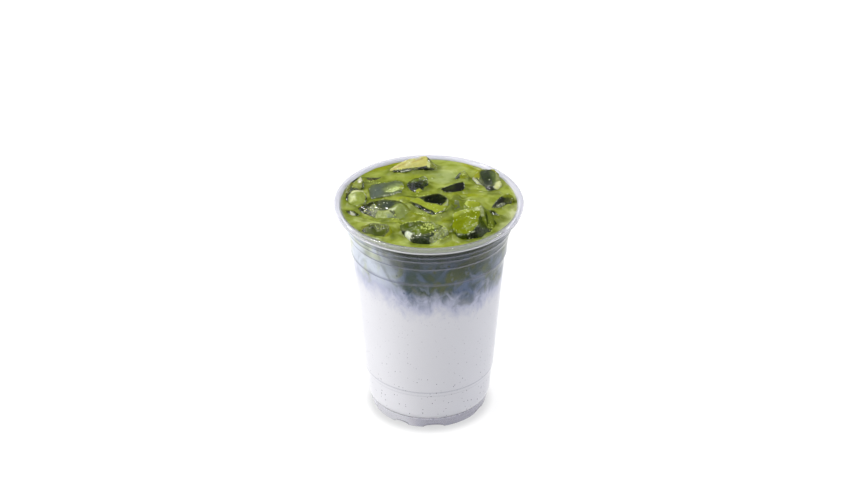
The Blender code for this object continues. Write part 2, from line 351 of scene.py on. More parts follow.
split = node(wt, "ShaderNodeSeparateXYZ")
wt.links.new(direction, split.inputs[0])
front_low = math_node(
    wt, "MULTIPLY", ramp(wt, math_node(wt, "MULTIPLY", split.outputs["Y"],
                                       -1.0), 0.1, 0.7),
    math_node(wt, "SUBTRACT", 1.0, ramp(wt, split.outputs["Z"], 0.35, 0.8)))
back_low = math_node(
    wt, "MULTIPLY", ramp(wt, split.outputs["Y"], 0.25, 0.65),
    math_node(wt, "SUBTRACT", 1.0, ramp(wt, split.outputs["Z"], 0.50, 0.78)))
sky = mix_colour(wt, front_low, SKY, SKY_LOW_FRONT)
sky = mix_colour(wt, back_low, sky, SKY_LOW_BACK)
for light in LIGHTS:
    sky = add_light(sky, *light)
below = ramp(wt, split.outputs["Z"], -0.02, 0.03)
sky = mix_colour(wt, below, (0.95, 0.95, 0.96), sky)
wt.links.new(sky, back.inputs["Color"])
back.inputs["Strength"].default_value = 1.0

# -------------------------------------------------------------------- floor
floor_mat, ft, fs = new_material("floor")
fs.inputs["Roughness"].default_value = 1.0
fs.inputs["Specular IOR Level"].default_value = 0.0
# a narrow soft shade round the foot, wider towards the left and the front
at = node(ft, "ShaderNodeVectorMath", operation="LENGTH")
link(ft, place(ft, (1.0, 1.0, 0.0), (0.2, 2.0, 0.0)), at.inputs[0])
shade_r = math_node(ft, "SUBTRACT", at.outputs["Value"], 29.5)
near_foot = math_node(ft, "SUBTRACT", 1.0, ramp(ft, shade_r, -0.5, 7.0))
contact = mix_colour(ft, near_foot, (1.0, 1.0, 1.0), (0.74, 0.74, 0.745))
link(ft, mix_colour(ft, near_foot, (0.21, 0.21, 0.21), (0.14, 0.14, 0.14)),
     fs.inputs["Base Color"])
link(ft, contact, fs.inputs["Emission Color"])
fs.inputs["Emission Strength"].default_value = 0.80
floor_size = 4.0
floor = mesh_object("floor", [(-floor_size, -floor_size, -0.00002),
                              (floor_size, -floor_size, -0.00002),
                              (floor_size, floor_size, -0.00002),
                              (-floor_size, floor_size, -0.00002)],
                    [(0, 1, 2, 3)], floor_mat, smooth=False)

# ----------------------------------------------------------- cup's section
CUP_HEIGHT = 121.6
RIM_RADIUS = 49.0
WALL = 0.5
FLOOR_TOP = 7.0
FLOOR_THICK = 0.8
LEVEL = 120.05
BLEND = 77.5
SINK = 0.22              # how far the drink reaches into the wall

# (height, radius) of the wall's outer side, as in the solid model, mm
WALL_OUTSIDE = (
    (0.0, 29.9), (0.6, 30.4), (2.0, 31.0), (5.7, 31.75),
    (6.6, 31.65), (7.7, 32.3), (9.4, 32.85),
    (21.0, 33.7), (22.5, 34.0), (24.8, 34.62),
    (90.4, 39.82), (91.8, 40.12), (95.1, 40.92),
    (103.7, 41.6), (105.3, 42.1),
    (108.8, 43.0), (110.6, 43.7), (113.3, 44.3),
    (116.9, 45.25), (119.4, 45.9), (121.3, 46.3), (124.0, 46.5),
)
# small raised beads round the wall: height, how proud, half width, mm
BEADS = ((24.9, 0.04, 0.5), (95.3, 0.10, 0.5), (105.7, 0.14, 0.45),
         (110.8, 0.16, 0.45), (114.3, 0.12, 0.4), (117.2, 0.10, 0.4))

_z = np.arange(-2.0, 125.0, 0.05)
_r = np.interp(_z, [p[0] for p in WALL_OUTSIDE], [p[1] for p in WALL_OUTSIDE])
_k = np.exp(-0.5 * (np.arange(-30, 31) * 0.05 / 0.42) ** 2)
_r = np.convolve(np.pad(_r, 30, mode="edge"), _k / _k.sum(), mode="valid")
for _h, _p, _w in BEADS:
    _r = _r + _p * np.exp(-0.5 * ((_z - _h) / _w) ** 2)


def outer_r(z):
    """Radius of the wall's outer side, mm."""
    return np.interp(z, _z, _r)


def inner_r(z):
    return outer_r(z) - WALL


def drink_r(z):
    """Radius of the drink, a little inside the wall, mm."""
    return inner_r(z) + SINK


def catmull(points, per):
    """Smooth open curve through points."""
    p = np.array(points, dtype=float)
    p = np.vstack([2 * p[0] - p[1], p, 2 * p[-1] - p[-2]])
    out = []
    for i in range(1, len(p) - 2):
        for k in range(per):
            t = k / per
            a, b, c, d = p[i - 1], p[i], p[i + 1], p[i + 2]
            out.append(0.5 * ((2 * b) + (c - a) * t
                              + (2 * a - 5 * b + 4 * c - d) * t * t
                              + (3 * b - a - 3 * c + d) * t ** 3))
    out.append(p[-2])
    return out


def cup_section():
    """Half section of the whole cup, mm."""
    pts = [(0.0, FLOOR_TOP - FLOOR_THICK), (10.0, FLOOR_TOP - FLOOR_THICK),
           (20.0, FLOOR_TOP - FLOOR_THICK)]
    pts += [tuple(p) for p in catmull(
        [(28.6, FLOOR_TOP - FLOOR_THICK), (29.6, FLOOR_TOP - FLOOR_THICK - 0.3),
         (29.9, FLOOR_TOP - FLOOR_THICK - 1.3), (29.6, 3.0), (29.1, 0.9),
         (29.0, 0.25), (29.35, 0.0), (29.75, 0.0), (30.15, 0.25)], 3)]
    z = 0.7
    while z < 119.3:
        pts.append((float(outer_r(z)), z))
        z += 0.35 if (z < 10 or 19.5 < z < 26 or 87 < z < 95 or z > 100) else 1.6
    # up inside the curl, down to its hanging bead, back up the outer side
    pts += [tuple(p) for p in catmull(
        [(46.15, 119.7), (46.35, 120.5), (46.7, 121.05), (47.3, 121.3),
         (48.0, 121.2), (48.4, 120.65), (48.2, 119.85), (47.8, 119.4),
         (47.35, 119.1), (47.1, 118.75), (47.2, 118.4), (47.6, 118.2),
         (48.1, 118.25), (48.45, 118.55), (48.5, 118.95), (48.38, 119.2),
         (48.45, 119.5), (48.8, 119.9), (49.0, 120.5), (49.0, 121.15),
         (48.6, 121.62), (47.7, 121.75), (46.7, 121.6), (46.05, 121.1)], 4)]
    z = 120.6
    while z > FLOOR_TOP + 1.6:
        pts.append((float(min(inner_r(z), 46.0)), z))
        z -= 0.35 if (z < 10 or 19.5 < z < 26 or 87 < z < 95 or z > 100) else 1.6
    pts += [tuple(p) for p in catmull(
        [(float(inner_r(FLOOR_TOP + 1.4)) - 0.05, FLOOR_TOP + 1.4),
         (float(inner_r(FLOOR_TOP)) - 0.25, FLOOR_TOP + 0.45),
         (float(inner_r(FLOOR_TOP)) - 1.2, FLOOR_TOP)], 4)]
    pts += [(20.0, FLOOR_TOP), (10.0, FLOOR_TOP), (0.0, FLOOR_TOP)]
    return [(r * MM, z * MM) for r, z in pts]


# ----------------------------------------------------------------- plastic
cup_mat, ct, cs = new_material("clear_plastic")
# veil: cloudy plastic, which also carries the painted highlights, sheen and dark
# edge set on the cup below
veil_and_painted_light = attribute(ct, "veil_and_painted_light")
plastic = mix_colour(ct, veil_and_painted_light, (0.905, 0.905, 0.950), (0.84, 0.84, 0.91))
# rim tint: the plastic's own lavender, and a painted sheen that is stronger at
# the sides and back than in front
plastic = mix_colour(ct, attribute(ct, "rim"), plastic, (0.72, 0.72, 0.775))
# foot: its own lavender tint, with painted shade from the front round to the
# right
plastic = mix_colour(ct, attribute(ct, "foot"), plastic, (0.51, 0.505, 0.58))
# blue-grey tint on the bead lines: part of their painted highlight and dark edge
plastic = mix_colour(ct, attribute(ct, "ring"), plastic, (0.33, 0.35, 0.46))
# groove line: grime with painted shade, and the painted dark reflection on the
# foot's lower edge
groove = noise_tex(ct, place(ct, (1, 1, 0.3), (5.0, 2.0, 0.0)), 0.9, 2.0)
groove = math_node(ct, "MULTIPLY", attribute(ct, "line"),
                   ramp(ct, groove, 0.38, 0.60))
plastic = mix_colour(ct, groove, plastic, (0.20, 0.22, 0.34))
link(ct, plastic, cs.inputs["Base Color"])
link(ct, math_node(ct, "MULTIPLY_ADD", veil_and_painted_light, 0.25, 0.035),
     cs.inputs["Roughness"])
cs.inputs["IOR"].default_value = 1.30
link(ct, math_node(ct, "SUBTRACT", 1.0, veil_and_painted_light, clamp=True),
     cs.inputs["Transmission Weight"])
wob = noise_tex(ct, place(ct, (1, 1, 0.5)), 0.09, 2.0)
bump = node(ct, "ShaderNodeBump", in_Strength=0.03, in_Distance=0.0006)
link(ct, wob, bump.inputs["Height"])
link(ct, bump.outputs["Normal"], cs.inputs["Normal"])

cup = revolve("cup_clear", cup_section(), 208, cup_mat, sharp=50)

# Lines along the wall's beads where the plastic is thicker, made cloudy as
# painted highlights that the beads catch: height, half width, amount
BEAD_HIGHLIGHT_LINES = ((95.3, 0.30, 0.34), (105.5, 0.30, 0.38), (110.8, 0.30, 0.38),
           (113.5, 0.30, 0.38), (116.5, 0.25, 0.26), (25.0, 0.35, 0.07),
           (22.5, 0.30, 0.04))

NOTCH_ANGLES = (-29.0, 5.0)
NOTCH_WIDTHS = (8.4, 11.0)
NOTCH_HEIGHT = 2.3


def notch_body(angle, width):
    """Arch cut through the foot ring; angle from the front, mm."""
    steps = 24
    verts, faces = [], []
    for r in (25.0, 34.0):
        for i in range(steps + 1):
            t = math.pi * i / steps
            verts.append((0.5 * width * math.cos(t), -r,
                          NOTCH_HEIGHT * math.sin(t) ** 0.8))
        verts.append((-0.5 * width, -r, -2.0))
        verts.append((0.5 * width, -r, -2.0))
    n = steps + 3
    faces.append(tuple(range(n)))
    faces.append(tuple(reversed(range(n, 2 * n))))
    for i in range(n):
        j = (i + 1) % n
        faces.append((j, i, n + i, n + j))
    a = math.radians(angle)
    turned = [((x * math.cos(a) - y * math.sin(a)) * MM,
               (x * math.sin(a) + y * math.cos(a)) * MM, z * MM)
              for x, y, z in verts]
    obj = mesh_object("notch", turned, faces, smooth=False)
    bm = bmesh.new()
    bm.from_mesh(obj.data)
    bmesh.ops.recalc_face_normals(bm, faces=bm.faces)
    bm.to_mesh(obj.data)
    bm.free()
    return obj


for quarter in range(4):
    for first, width in zip(NOTCH_ANGLES, NOTCH_WIDTHS):
        cutter = notch_body(first + 90.0 * quarter, width)
        boolean(cup, cutter, "DIFFERENCE")
        drop(cutter)
cup.data.shade_smooth()
cup.data.set_sharp_from_angle(angle=math.radians(50))
co = coords(cup.data) / MM
r, z = np.hypot(co[:, 0], co[:, 1]), co[:, 2]
cloud_and_painted_light = np.zeros(len(co))
for height_, half, amount in BEAD_HIGHLIGHT_LINES:
    cloud_and_painted_light = np.maximum(cloud_and_painted_light, amount * np.exp(-((z - height_) / half) ** 2))
front = smoothstep(95.0, 40.0, np.degrees(np.abs(np.arctan2(co[:, 0],
                                                            -co[:, 1]))))
# curl and inner lip: the plastic's own lavender tint, and a painted sheen of
# studio light that is stronger at the sides and back than in front
curl = smoothstep(46.2, 46.9, r) * smoothstep(117.6, 118.4, z)
lip = np.maximum(curl, smoothstep(45.2, 45.7, r) * smoothstep(119.0, 119.8, z))
curl = np.maximum(curl, lip * (1.0 - front))
# blue-grey tint on the bead lines: part of their painted highlight and dark edge
set_attribute(cup.data, "ring", smoothstep(0.0, 0.12, cloud_and_painted_light))
cloud_and_painted_light = np.maximum(cloud_and_painted_light, (0.42 - 0.32 * front) * curl)
# bright line on the bead under the curl: painted highlight
cloud_and_painted_light = np.maximum(cloud_and_painted_light, 0.50 * smoothstep(47.6, 48.2, r)
                    * smoothstep(119.5, 119.0, z) * smoothstep(117.6, 118.1, z))
cloud_and_painted_light = np.maximum(cloud_and_painted_light, 0.12 * smoothstep(6.6, 5.6, z))
# rim tint: the plastic's own lavender, and a painted sheen that is stronger at
# the sides and back
set_attribute(cup.data, "rim", curl * (0.9 - 0.4 * front))
# grime in the groove above the foot, darker from the front round to the right as
# painted shade, and a painted dark reflection along the foot's lower edge
turn = np.degrees(np.arctan2(co[:, 0], -co[:, 1]))
fade = 1.0 - smoothstep(115.0, 172.0, turn)
dark_reflection_edge = 0.9 * smoothstep(1.5, 0.7, z) * smoothstep(6.0, 20.0, turn) \
    * fade * (r > 29.4)
set_attribute(cup.data, "line", np.maximum(
    np.exp(-((z - 6.6) / 0.40) ** 2) * (r > 30.5)
    * (0.35 + 0.65 * smoothstep(-35.0, 10.0, turn) * fade), dark_reflection_edge))
# the foot's own lavender tint, darker from the front round to the right as
# painted shade
set_attribute(cup.data, "foot", smoothstep(6.4, 5.8, z)
              * (0.25 + 0.75 * smoothstep(-30.0, 0.0, turn) * fade))
set_attribute(cup.data, "veil_and_painted_light", np.maximum(cloud_and_painted_light, 0.6 * dark_reflection_edge))
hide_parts("cup")
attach(cup, "root")

# --------------------------------------------------------------------- ice
def masked(tree_, base, colour, fac):
    return mix_colour(tree_, fac, base, colour)


def colour_attribute(tree_, name):
    made = tree_.nodes.new("ShaderNodeAttribute")
    made.attribute_name = name
    return made.outputs["Color"]


def dots(tree_, scale, size, share, seed):
    """Small round dots: 1 inside a dot, 0 elsewhere."""
    vor = tree_.nodes.new("ShaderNodeTexVoronoi")
    vor.inputs["Scale"].default_value = scale
    tree_.links.new(place(tree_, (1, 1, 1), (seed, seed * 2, seed * 3)),
                    vor.inputs["Vector"])
    sep = tree_.nodes.new("ShaderNodeSeparateColor")
    tree_.links.new(vor.outputs["Color"], sep.inputs["Color"])
    dot = math_node(tree_, "LESS_THAN", vor.outputs["Distance"], size)
    keep = math_node(tree_, "LESS_THAN", sep.outputs["Red"], share)
    return math_node(tree_, "MULTIPLY", dot, keep)


ice_mat, it, ish = new_material("ice")
ish.inputs["IOR"].default_value = 1.31
ish.inputs["Specular IOR Level"].default_value = 0.21
cover = attribute(it, "cover")
frost = attribute(it, "frost")
fine = noise_tex(it, place(it), 0.75, 4.0, 0.65)
mottle = noise_tex(it, place(it, (1, 1, 1), (4.0, 1.0, 2.0)), 0.28, 4.0, 0.6)
frost_and_glints = math_node(it, "MULTIPLY", frost, ramp(it, fine, 0.40, 0.62),
                  clamp=True)
frost_and_glints = math_node(it, "MAXIMUM", frost_and_glints,
                  math_node(it, "MULTIPLY", dots(it, 1.15, 0.26, 0.55, 2.3),
                            ramp(it, frost, 0.12, 0.45)))
# sparse white specks over all the ice: bubbles, and painted glints
frost_and_glints = math_node(it, "MAXIMUM", frost_and_glints, dots(it, 0.62, 0.13, 0.26, 7.1))
# painted highlight along the ice's outward edges, broken up by noise
edge_highlight = attribute(it, "ridge")
broken = noise_tex(it, place(it, (1, 1, 1), (8.0, 3.0, 1.0)), 0.20, 2.0)
edge_highlight = math_node(it, "MULTIPLY", edge_highlight,
                   math_node(it, "MULTIPLY", ramp(it, fine, 0.42, 0.60),
                             ramp(it, broken, 0.47, 0.60)))
edge_highlight = math_node(it, "MULTIPLY", edge_highlight, 0.75)
frost_and_glints = math_node(it, "MAXIMUM", frost_and_glints, edge_highlight)
skin = math_node(it, "MULTIPLY", cover,
                 math_node(it, "MULTIPLY_ADD", ramp(it, mottle, 0.30, 0.60),
                           0.22, 0.78), clamp=True)
ice_col = mix_colour(it, math_node(it, "MULTIPLY", cover, 4.0, clamp=True),
                     (0.86, 0.94, 0.72), colour_attribute(it, "tone"))
ice_col = mix_colour(it, frost_and_glints, ice_col, srgb(214, 220, 184))
link(it, ice_col, ish.inputs["Base Color"])
solid = math_node(it, "MAXIMUM", skin,
                  math_node(it, "MULTIPLY", frost_and_glints, 0.85))
link(it, math_node(it, "SUBTRACT", 1.0, solid, clamp=True),
     ish.inputs["Transmission Weight"])
link(it, math_node(it, "MULTIPLY_ADD", solid, 0.16, 0.03),
     ish.inputs["Roughness"])
ripple = noise_tex(it, place(it), 0.32, 3.0)
ib = node(it, "ShaderNodeBump", in_Strength=0.45, in_Distance=0.0006)
link(it, ripple, ib.inputs["Height"])
link(it, ib.outputs["Normal"], ish.inputs["Normal"])

shape_noise = Lattice(11)
ICE_NODES = sorted(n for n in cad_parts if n.startswith("ice_"))


def ice_piece(name, index):
    """Melted, rounded block around its plain solid."""
    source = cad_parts[name].data
    mesh = source.copy()
    mesh.name = name + "_clear"
    mesh.materials.clear()
    mesh.materials.append(ice_mat)
    obj = bpy.data.objects.new(name + "_clear", mesh)
    bpy.context.scene.collection.objects.link(obj)
    mod = obj.modifiers.new("blocks", "REMESH")
    mod.mode = "VOXEL"
    mod.voxel_size = 0.5 * MM
    mod = obj.modifiers.new("melt", "SMOOTH")
    mod.factor = 0.6
    mod.iterations = 5
    apply_modifiers(obj)
    me = obj.data
    co = coords(me)
    nrm = np.empty(len(me.vertices) * 3, dtype=np.float32)
    me.vertices.foreach_get("normal", nrm)
    nrm = nrm.reshape(-1, 3).astype(float)
    p = co / MM + index * 31.7
    push = (0.40 * shape_noise(p, 6.0, 1) + 0.16 * shape_noise(p, 2.2, 2)
            + 0.22)
    set_coords(me, co + nrm * push[:, None] * MM)
    # how strongly each point lies on an outward edge
    pairs = np.empty(len(me.edges) * 2, dtype=np.int32)
    me.edges.foreach_get("vertices", pairs)
    pairs = pairs.reshape(-1, 2)
    near = np.zeros((len(co), 3))
    count = np.zeros(len(co))
    for i, j in ((0, 1), (1, 0)):
        np.add.at(near, pairs[:, i], co[pairs[:, j]])
        np.add.at(count, pairs[:, i], 1.0)
    bend = -np.sum((near / count[:, None] - co) * nrm, axis=1) / MM
    total = np.zeros(len(co))
    for i, j in ((0, 1), (1, 0)):
        np.add.at(total, pairs[:, i], bend[pairs[:, j]])
    bend = 0.5 * bend + 0.5 * total / count
    set_attribute(me, "ridge", smoothstep(0.016, 0.045, bend))
    me.shade_smooth()
    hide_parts(name)
    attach(obj, "root")
    return obj


ice = [ice_piece(name, i) for i, name in enumerate(ICE_NODES)]

# ------------------------------------------------------------------- drink
def blend_height(x, y):
    """Height of the uneven border between milk and matcha, mm."""
    r = np.hypot(x, y) / 38.0
    a = np.arctan2(x, -y)
    wave = (2.6 * np.cos(2.0 * a) + 1.2 * np.cos(5.0 * a + 0.6)
            + 0.8 * np.sin(9.0 * a + 0.4) + 0.7 * np.sin(3.0 * a))
    return BLEND + wave * np.minimum(1.0, r) ** 2


def disc_grid(n):
    """Square grid mapped onto the unit disc; also its rim in order."""
    s = np.linspace(-1.0, 1.0, n)
    a, b = np.meshgrid(s, s, indexing="ij")
    wide = np.abs(a) > np.abs(b)
    safe_a = np.where(a == 0, 1.0, a)
    safe_b = np.where(b == 0, 1.0, b)
    r = np.where(wide, a, b)
    phi = np.where(wide, (math.pi / 4) * (b / safe_a),
                   math.pi / 2 - (math.pi / 4) * (a / safe_b))
    x = r * np.cos(phi)
    y = r * np.sin(phi)
    index = np.arange(n * n).reshape(n, n)
    rim = (list(index[:, 0][:-1]) + list(index[-1, :][:-1])
           + list(index[::-1, -1][:-1]) + list(index[0, ::-1][:-1]))
    quads = np.stack([index[:-1, :-1], index[1:, :-1], index[1:, 1:],
                      index[:-1, 1:]], -1).reshape(-1, 4)
    return x.ravel(), y.ravel(), quads, rim


def ice_tree(parts):
    """One search tree over all ice blocks."""
    verts, faces = [], []
    for obj in parts:
        me = obj.data
        base = len(verts)
        verts.extend(Vector(v.co) for v in me.vertices)
        faces.extend([base + k for k in p.vertices] for p in me.polygons)
    return BVHTree.FromPolygons(verts, faces)


tree = ice_tree(ice)
surface_noise = Lattice(23)
edge_noise = Lattice(5)


def plan_y(y):
    """The tables' y, which runs 4 % longer than the cup's, mm."""
    return (y - 0.1) / 0.9617


def ellipse(x, y, cx, cy, rx, ry, head):
    """Distance from the middle of an ellipse, 1 on its edge."""
    y = plan_y(y)
    a = math.radians(head)
    u = ((x - cx) * math.cos(a) + (y - cy) * math.sin(a)) / rx
    v = (-(x - cx) * math.sin(a) + (y - cy) * math.cos(a)) / ry
    return np.sqrt(u * u + v * v)


def outline_distance(x, y, points):
    """Distance (mm) to a closed outline in plan, less than 0 inside."""
    y = plan_y(y)
    best = np.full(len(x), 1e9)
    inside = np.zeros(len(x), dtype=bool)
    n = len(points)
    for i in range(n):
        (ax, ay), (bx, by) = points[i], points[(i + 1) % n]
        ex, ey = bx - ax, by - ay
        t = np.clip(((x - ax) * ex + (y - ay) * ey) / (ex * ex + ey * ey),
                    0.0, 1.0)
        d = np.hypot(x - ax - t * ex, y - ay - t * ey)
        best = np.minimum(best, d)
        if ay != by:
            cross = (ay > y) != (by > y)
            xi = ax + (y - ay) / (by - ay) * ex
            inside ^= cross & (x < xi)
    return np.where(inside, -best, best)


def line_distance(x, y, points):
    """Distance (mm) to an open line in plan."""
    y = plan_y(y)
    best = np.full(len(x), 1e9)
    for (ax, ay), (bx, by) in zip(points, points[1:]):
        ex, ey = bx - ax, by - ay
        t = np.clip(((x - ax) * ex + (y - ay) * ey) / (ex * ex + ey * ey),
                    0.0, 1.0)
        best = np.minimum(best, np.hypot(x - ax - t * ex, y - ay - t * ey))
    return best


# Swellings of the surface where ice lies just under it, or froth gathers:
# plan centre, radii, heading, height, mm
HUMPS = (
    (14.1, 4.6, 3.2, 2.3, 0.0, 1.9),
    (-12.6, 4.6, 3.4, 2.2, -20.0, 0.8),
    (41.2, -4.4, 2.8, 2.4, 0.0, 1.2),
    (-8.5, -16.2, 5.5, 3.6, 20.0, 1.1),
    (-2.0, -18.6, 6.0, 3.0, -25.0, 1.0),
    (23.5, 4.5, 6.0, 3.0, 15.0, 0.9),
    (9.3, 23.1, 2.2, 0.9, 8.0, 0.5),
    (1.8, 27.4, 1.6, 0.5, -50.0, 0.4),
    (-13.0, 31.0, 5.0, 1.2, 5.0, 0.4),
    (-32.0, 11.0, 1.2, 4.0, 0.0, 0.5),
    (8.6, -21.5, 4.0, 3.0, 30.0, 0.7),
    (30.0, 5.0, 5.0, 2.5, -15.0, 0.5),
)
# Ridges: line in plan, half width, height, mm
RIDGES = (
    (((-11.0, -3.2), (-8.7, -5.8), (-2.5, -11.6), (2.6, -17.6), (8.2, -12.2),
      (11.4, -6.0)), 1.5, 0.9),
    (((-37.0, -16.0), (-31.0, -18.6), (-24.0, -22.6), (-16.0, -22.0)),
     1.4, 0.6),
    (((11.6, 3.2), (11.0, -2.0), (11.2, -8.0)), 0.8, 0.6),
    (((-15.6, -24.0), (-10.0, -24.4), (-2.0, -25.0), (5.0, -26.6)), 1.3, 0.8),
    (((20.0, 12.5), (24.0, 12.6), (29.0, 10.6), (36.0, 10.6)), 1.6, 0.7),
    (((-35.0, 22.2), (-32.0, 21.4), (-27.0, 22.6)), 0.9, 0.6),
    (((-33.0, -4.6), (-28.7, -1.6), (-23.0, -0.6), (-15.0, -1.4)), 1.3, 0.8),
    (((12.4, 5.4), (14.6, 7.6), (18.6, 7.2)), 1.2, 0.6),
    (((-12.0, -15.0), (-6.0, -13.4), (0.0, -17.6)), 1.4, 0.6),
)


def ice_gap(x, y):
    """Distance from points of the surface to the nearest ice, mm."""
    out = np.full(len(x), 6.0)
    for i in range(len(x)):
        near = tree.find_nearest(
            Vector((x[i] * MM, y[i] * MM, (LEVEL + 0.3) * MM)), 0.006)
        if near[0] is not None:
            out[i] = near[3] / MM
    return out


def surface_height(x, y, rim_part):
    """Height of the drink's surface, mm."""
    p = np.stack([x, y, np.zeros_like(x)], 1)
    h = (LEVEL + 0.26 * surface_noise(p, 9.0, 2)
         + 0.11 * surface_noise(p, 3.4, 2))
    for cx, cy, rx, ry, head, up in HUMPS:
        e = ellipse(x, y, cx, cy, rx, ry, head)
        h = h + 1.5 * up * (1.0 - smoothstep(0.25, 1.25, e))
    for line, half, up in RIDGES:
        d = line_distance(x, y, line) + 0.5 * surface_noise(p, 2.5, 2)
        h = h + 1.7 * up * np.exp(-(np.maximum(d, 0.0) / half) ** 2)
    # climbing edge at the wall
    gap = (1.0 - rim_part) * 46.0
    h = h + 0.50 * np.exp(-gap / 0.9)
    near = ice_gap(x, y)
    # rolls of drink that lean on the ice in places
    roll = smoothstep(-0.25, 0.35, edge_noise(p, 6.5, 2))
    h = h + 0.95 * roll * np.exp(-(np.maximum(near - 0.4, 0.0) / 1.5) ** 2)
    return h + 0.30 * np.exp(-near / 0.5)


GRID = 146
gx, gy, quads, rim = disc_grid(GRID)
rim_part = np.hypot(gx, gy)
top_r = float(drink_r(LEVEL))
sx, sy = gx * top_r, gy * top_r
height = surface_height(sx, sy, rim_part)

ROWS = [119.6, 118.6, 117.9, 117.2, 116.4, 115.2, 114.3, 113.5, 112.3, 111.4,
        110.8, 110.0, 108.8, 107.2, 106.0, 105.4, 104.5, 103.1, 99.5, 96.2,
        95.2, 93.9, 92.3, 90.8, 89.4]


def border_ring(angle):
    """Points where the border meets the wall."""
    out = []
    for a in angle:
        r = float(drink_r(BLEND))
        for _ in range(5):
            z = float(blend_height(r * math.cos(a), r * math.sin(a)))
            r = float(drink_r(z))
        out.append((r * math.cos(a), r * math.sin(a), z))
    return out


def build_matcha():
    """Upper part of the drink: surface, side against the wall, underside."""
    verts = list(np.stack([sx, sy, height], 1))
    faces = [tuple(q) for q in quads]
    ring = rim
    angle = np.arctan2(sy[rim], sx[rim])
    for z in ROWS + [None]:
        base = len(verts)
        if z is None:
            verts.extend(border_ring(angle))
        else:
            r = float(drink_r(z))
            verts.extend((r * math.cos(a), r * math.sin(a), z) for a in angle)
        new = list(range(base, base + len(angle)))
        for i in range(len(ring)):
            j = (i + 1) % len(ring)
            faces.append((ring[j], ring[i], new[i], new[j]))
        ring = new
    # underside: one inner ring and a centre
    base = len(verts)
    for a in angle[::4]:
        r = 20.0
        verts.append((r * math.cos(a), r * math.sin(a),
                      float(blend_height(r * math.cos(a), r * math.sin(a)))))
    centre = len(verts)
    verts.append((0.0, 0.0, BLEND))
    m = len(angle[::4])
    for i in range(m):
        j = (i + 1) % m
        outer = [ring[(4 * i + k) % len(ring)] for k in range(5)]
        faces.append((base + i, base + j, centre))
        faces.append((base + i, outer[0], outer[1]))
        faces.append((base + i, outer[1], outer[2]))
        faces.append((base + i, outer[2], base + j))
        faces.append((base + j, outer[2], outer[3]))
        faces.append((base + j, outer[3], outer[4]))
    verts = np.array(verts, dtype=float) * MM
    obj = mesh_object("matcha_body", verts, faces)
    bm = bmesh.new()
    bm.from_mesh(obj.data)
    bmesh.ops.recalc_face_normals(bm, faces=bm.faces)
    bm.to_mesh(obj.data)
    bm.free()
    return obj


matcha = build_matcha()


def joined_cutter(parts, shrink):
    """All ice blocks in one mesh, pulled in by a little."""
    verts, faces = [], []
    for obj in parts:
        me = obj.data
        base = len(verts)
        co = coords(me)
        nrm = np.empty(len(me.vertices) * 3, dtype=np.float32)
        me.vertices.foreach_get("normal", nrm)
        co = co - nrm.reshape(-1, 3) * shrink * MM
        verts.extend(co)
        faces.extend([base + k for k in p.vertices] for p in me.polygons)
    return mesh_object("ice_cutter", verts, faces, smooth=False)


cutter = joined_cutter(ice, 0.12)
boolean(matcha, cutter, "DIFFERENCE")
drop(cutter)
matcha.data.shade_smooth()
matcha.data.set_sharp_from_angle(angle=math.radians(62))


def build_milk():
    """Lower part of the drink, from the floor to the border."""
    n = 360
    angle = np.arange(n) * math.tau / n
    verts, faces = [(0.0, 0.0, FLOOR_TOP - 0.3)], []
    rings = []
    rows = [(FLOOR_TOP - 0.3, 30.2), (FLOOR_TOP + 0.2, 31.15),
            (FLOOR_TOP + 1.2, float(drink_r(FLOOR_TOP + 1.2)))]
    z = 9.0
    while z < 68.0:
        rows.append((z, float(drink_r(z))))
        z += 0.6 if 19.5 < z < 26 else 2.5
    for z, r in rows:
        rings.append(list(range(len(verts), len(verts) + n)))
        verts.extend((r * math.cos(a), r * math.sin(a), z) for a in angle)
    rings.append(list(range(len(verts), len(verts) + n)))
    verts.extend(border_ring(angle))
    for part in (0.75, 0.5, 0.25):
        r = float(drink_r(BLEND)) * part
        rings.append(list(range(len(verts), len(verts) + n)))
        verts.extend((r * math.cos(a), r * math.sin(a),
                      float(blend_height(r * math.cos(a), r * math.sin(a))))
                     for a in angle)
    last = len(verts)
    verts.append((0.0, 0.0, BLEND))
    for i in range(n):
        j = (i + 1) % n
        faces.append((0, rings[0][j], rings[0][i]))
        faces.append((last, rings[-1][i], rings[-1][j]))
        for a, b in zip(rings, rings[1:]):
            faces.append((a[i], a[j], b[j], b[i]))
    return mesh_object("milk_body", np.array(verts) * MM, faces, sharp=40)


milk = build_milk()

# ------------------------------------------------------- drink's appearance
drink_mat, dt, ds = new_material("drink")
ds.inputs["Roughness"].default_value = 0.20
ds.inputs["IOR"].default_value = 1.34
ds.inputs["Specular IOR Level"].default_value = 0.34
border = attribute(dt, "border")
wisp = noise_tex(dt, place(dt, (1, 1, 0.72)), 0.165, 5.0, 0.60, 0.9)
cloud = noise_tex(dt, place(dt, (1, 1, 0.75), (3.1, 7.7, 1.3)), 0.075, 4.0,
                  0.58, 1.0)
patch = noise_tex(dt, place(dt, (1, 1, 0.8), (9.2, 1.4, 6.0)), 0.075, 3.0,
                  0.55, 0.5)
fine_wisp = noise_tex(dt, place(dt, (1, 1, 0.50), (0.3, 4.0, 9.0)), 0.34, 3.0,
                      0.6, 0.6)
shift = math_node(dt, "MULTIPLY_ADD", wisp, 21.0, -10.5)
edge = math_node(dt, "ADD", border, shift)
edge = math_node(dt, "MULTIPLY_ADD", fine_wisp, 4.0, edge)
edge = math_node(dt, "SUBTRACT", edge, 0.2)
edge = math_node(dt, "MULTIPLY_ADD", attribute(dt, "pale"), -11.0, edge)
milk_white = tuple(0.915 * c for c in srgb(238, 238, 239))
haze = srgb(98, 114, 144)
grey_green = srgb(60, 78, 66)
olive = srgb(88, 96, 40)
deep_green = srgb(42, 52, 40)
pale_haze = srgb(212, 219, 226)
pale_a = attribute(dt, "pale")
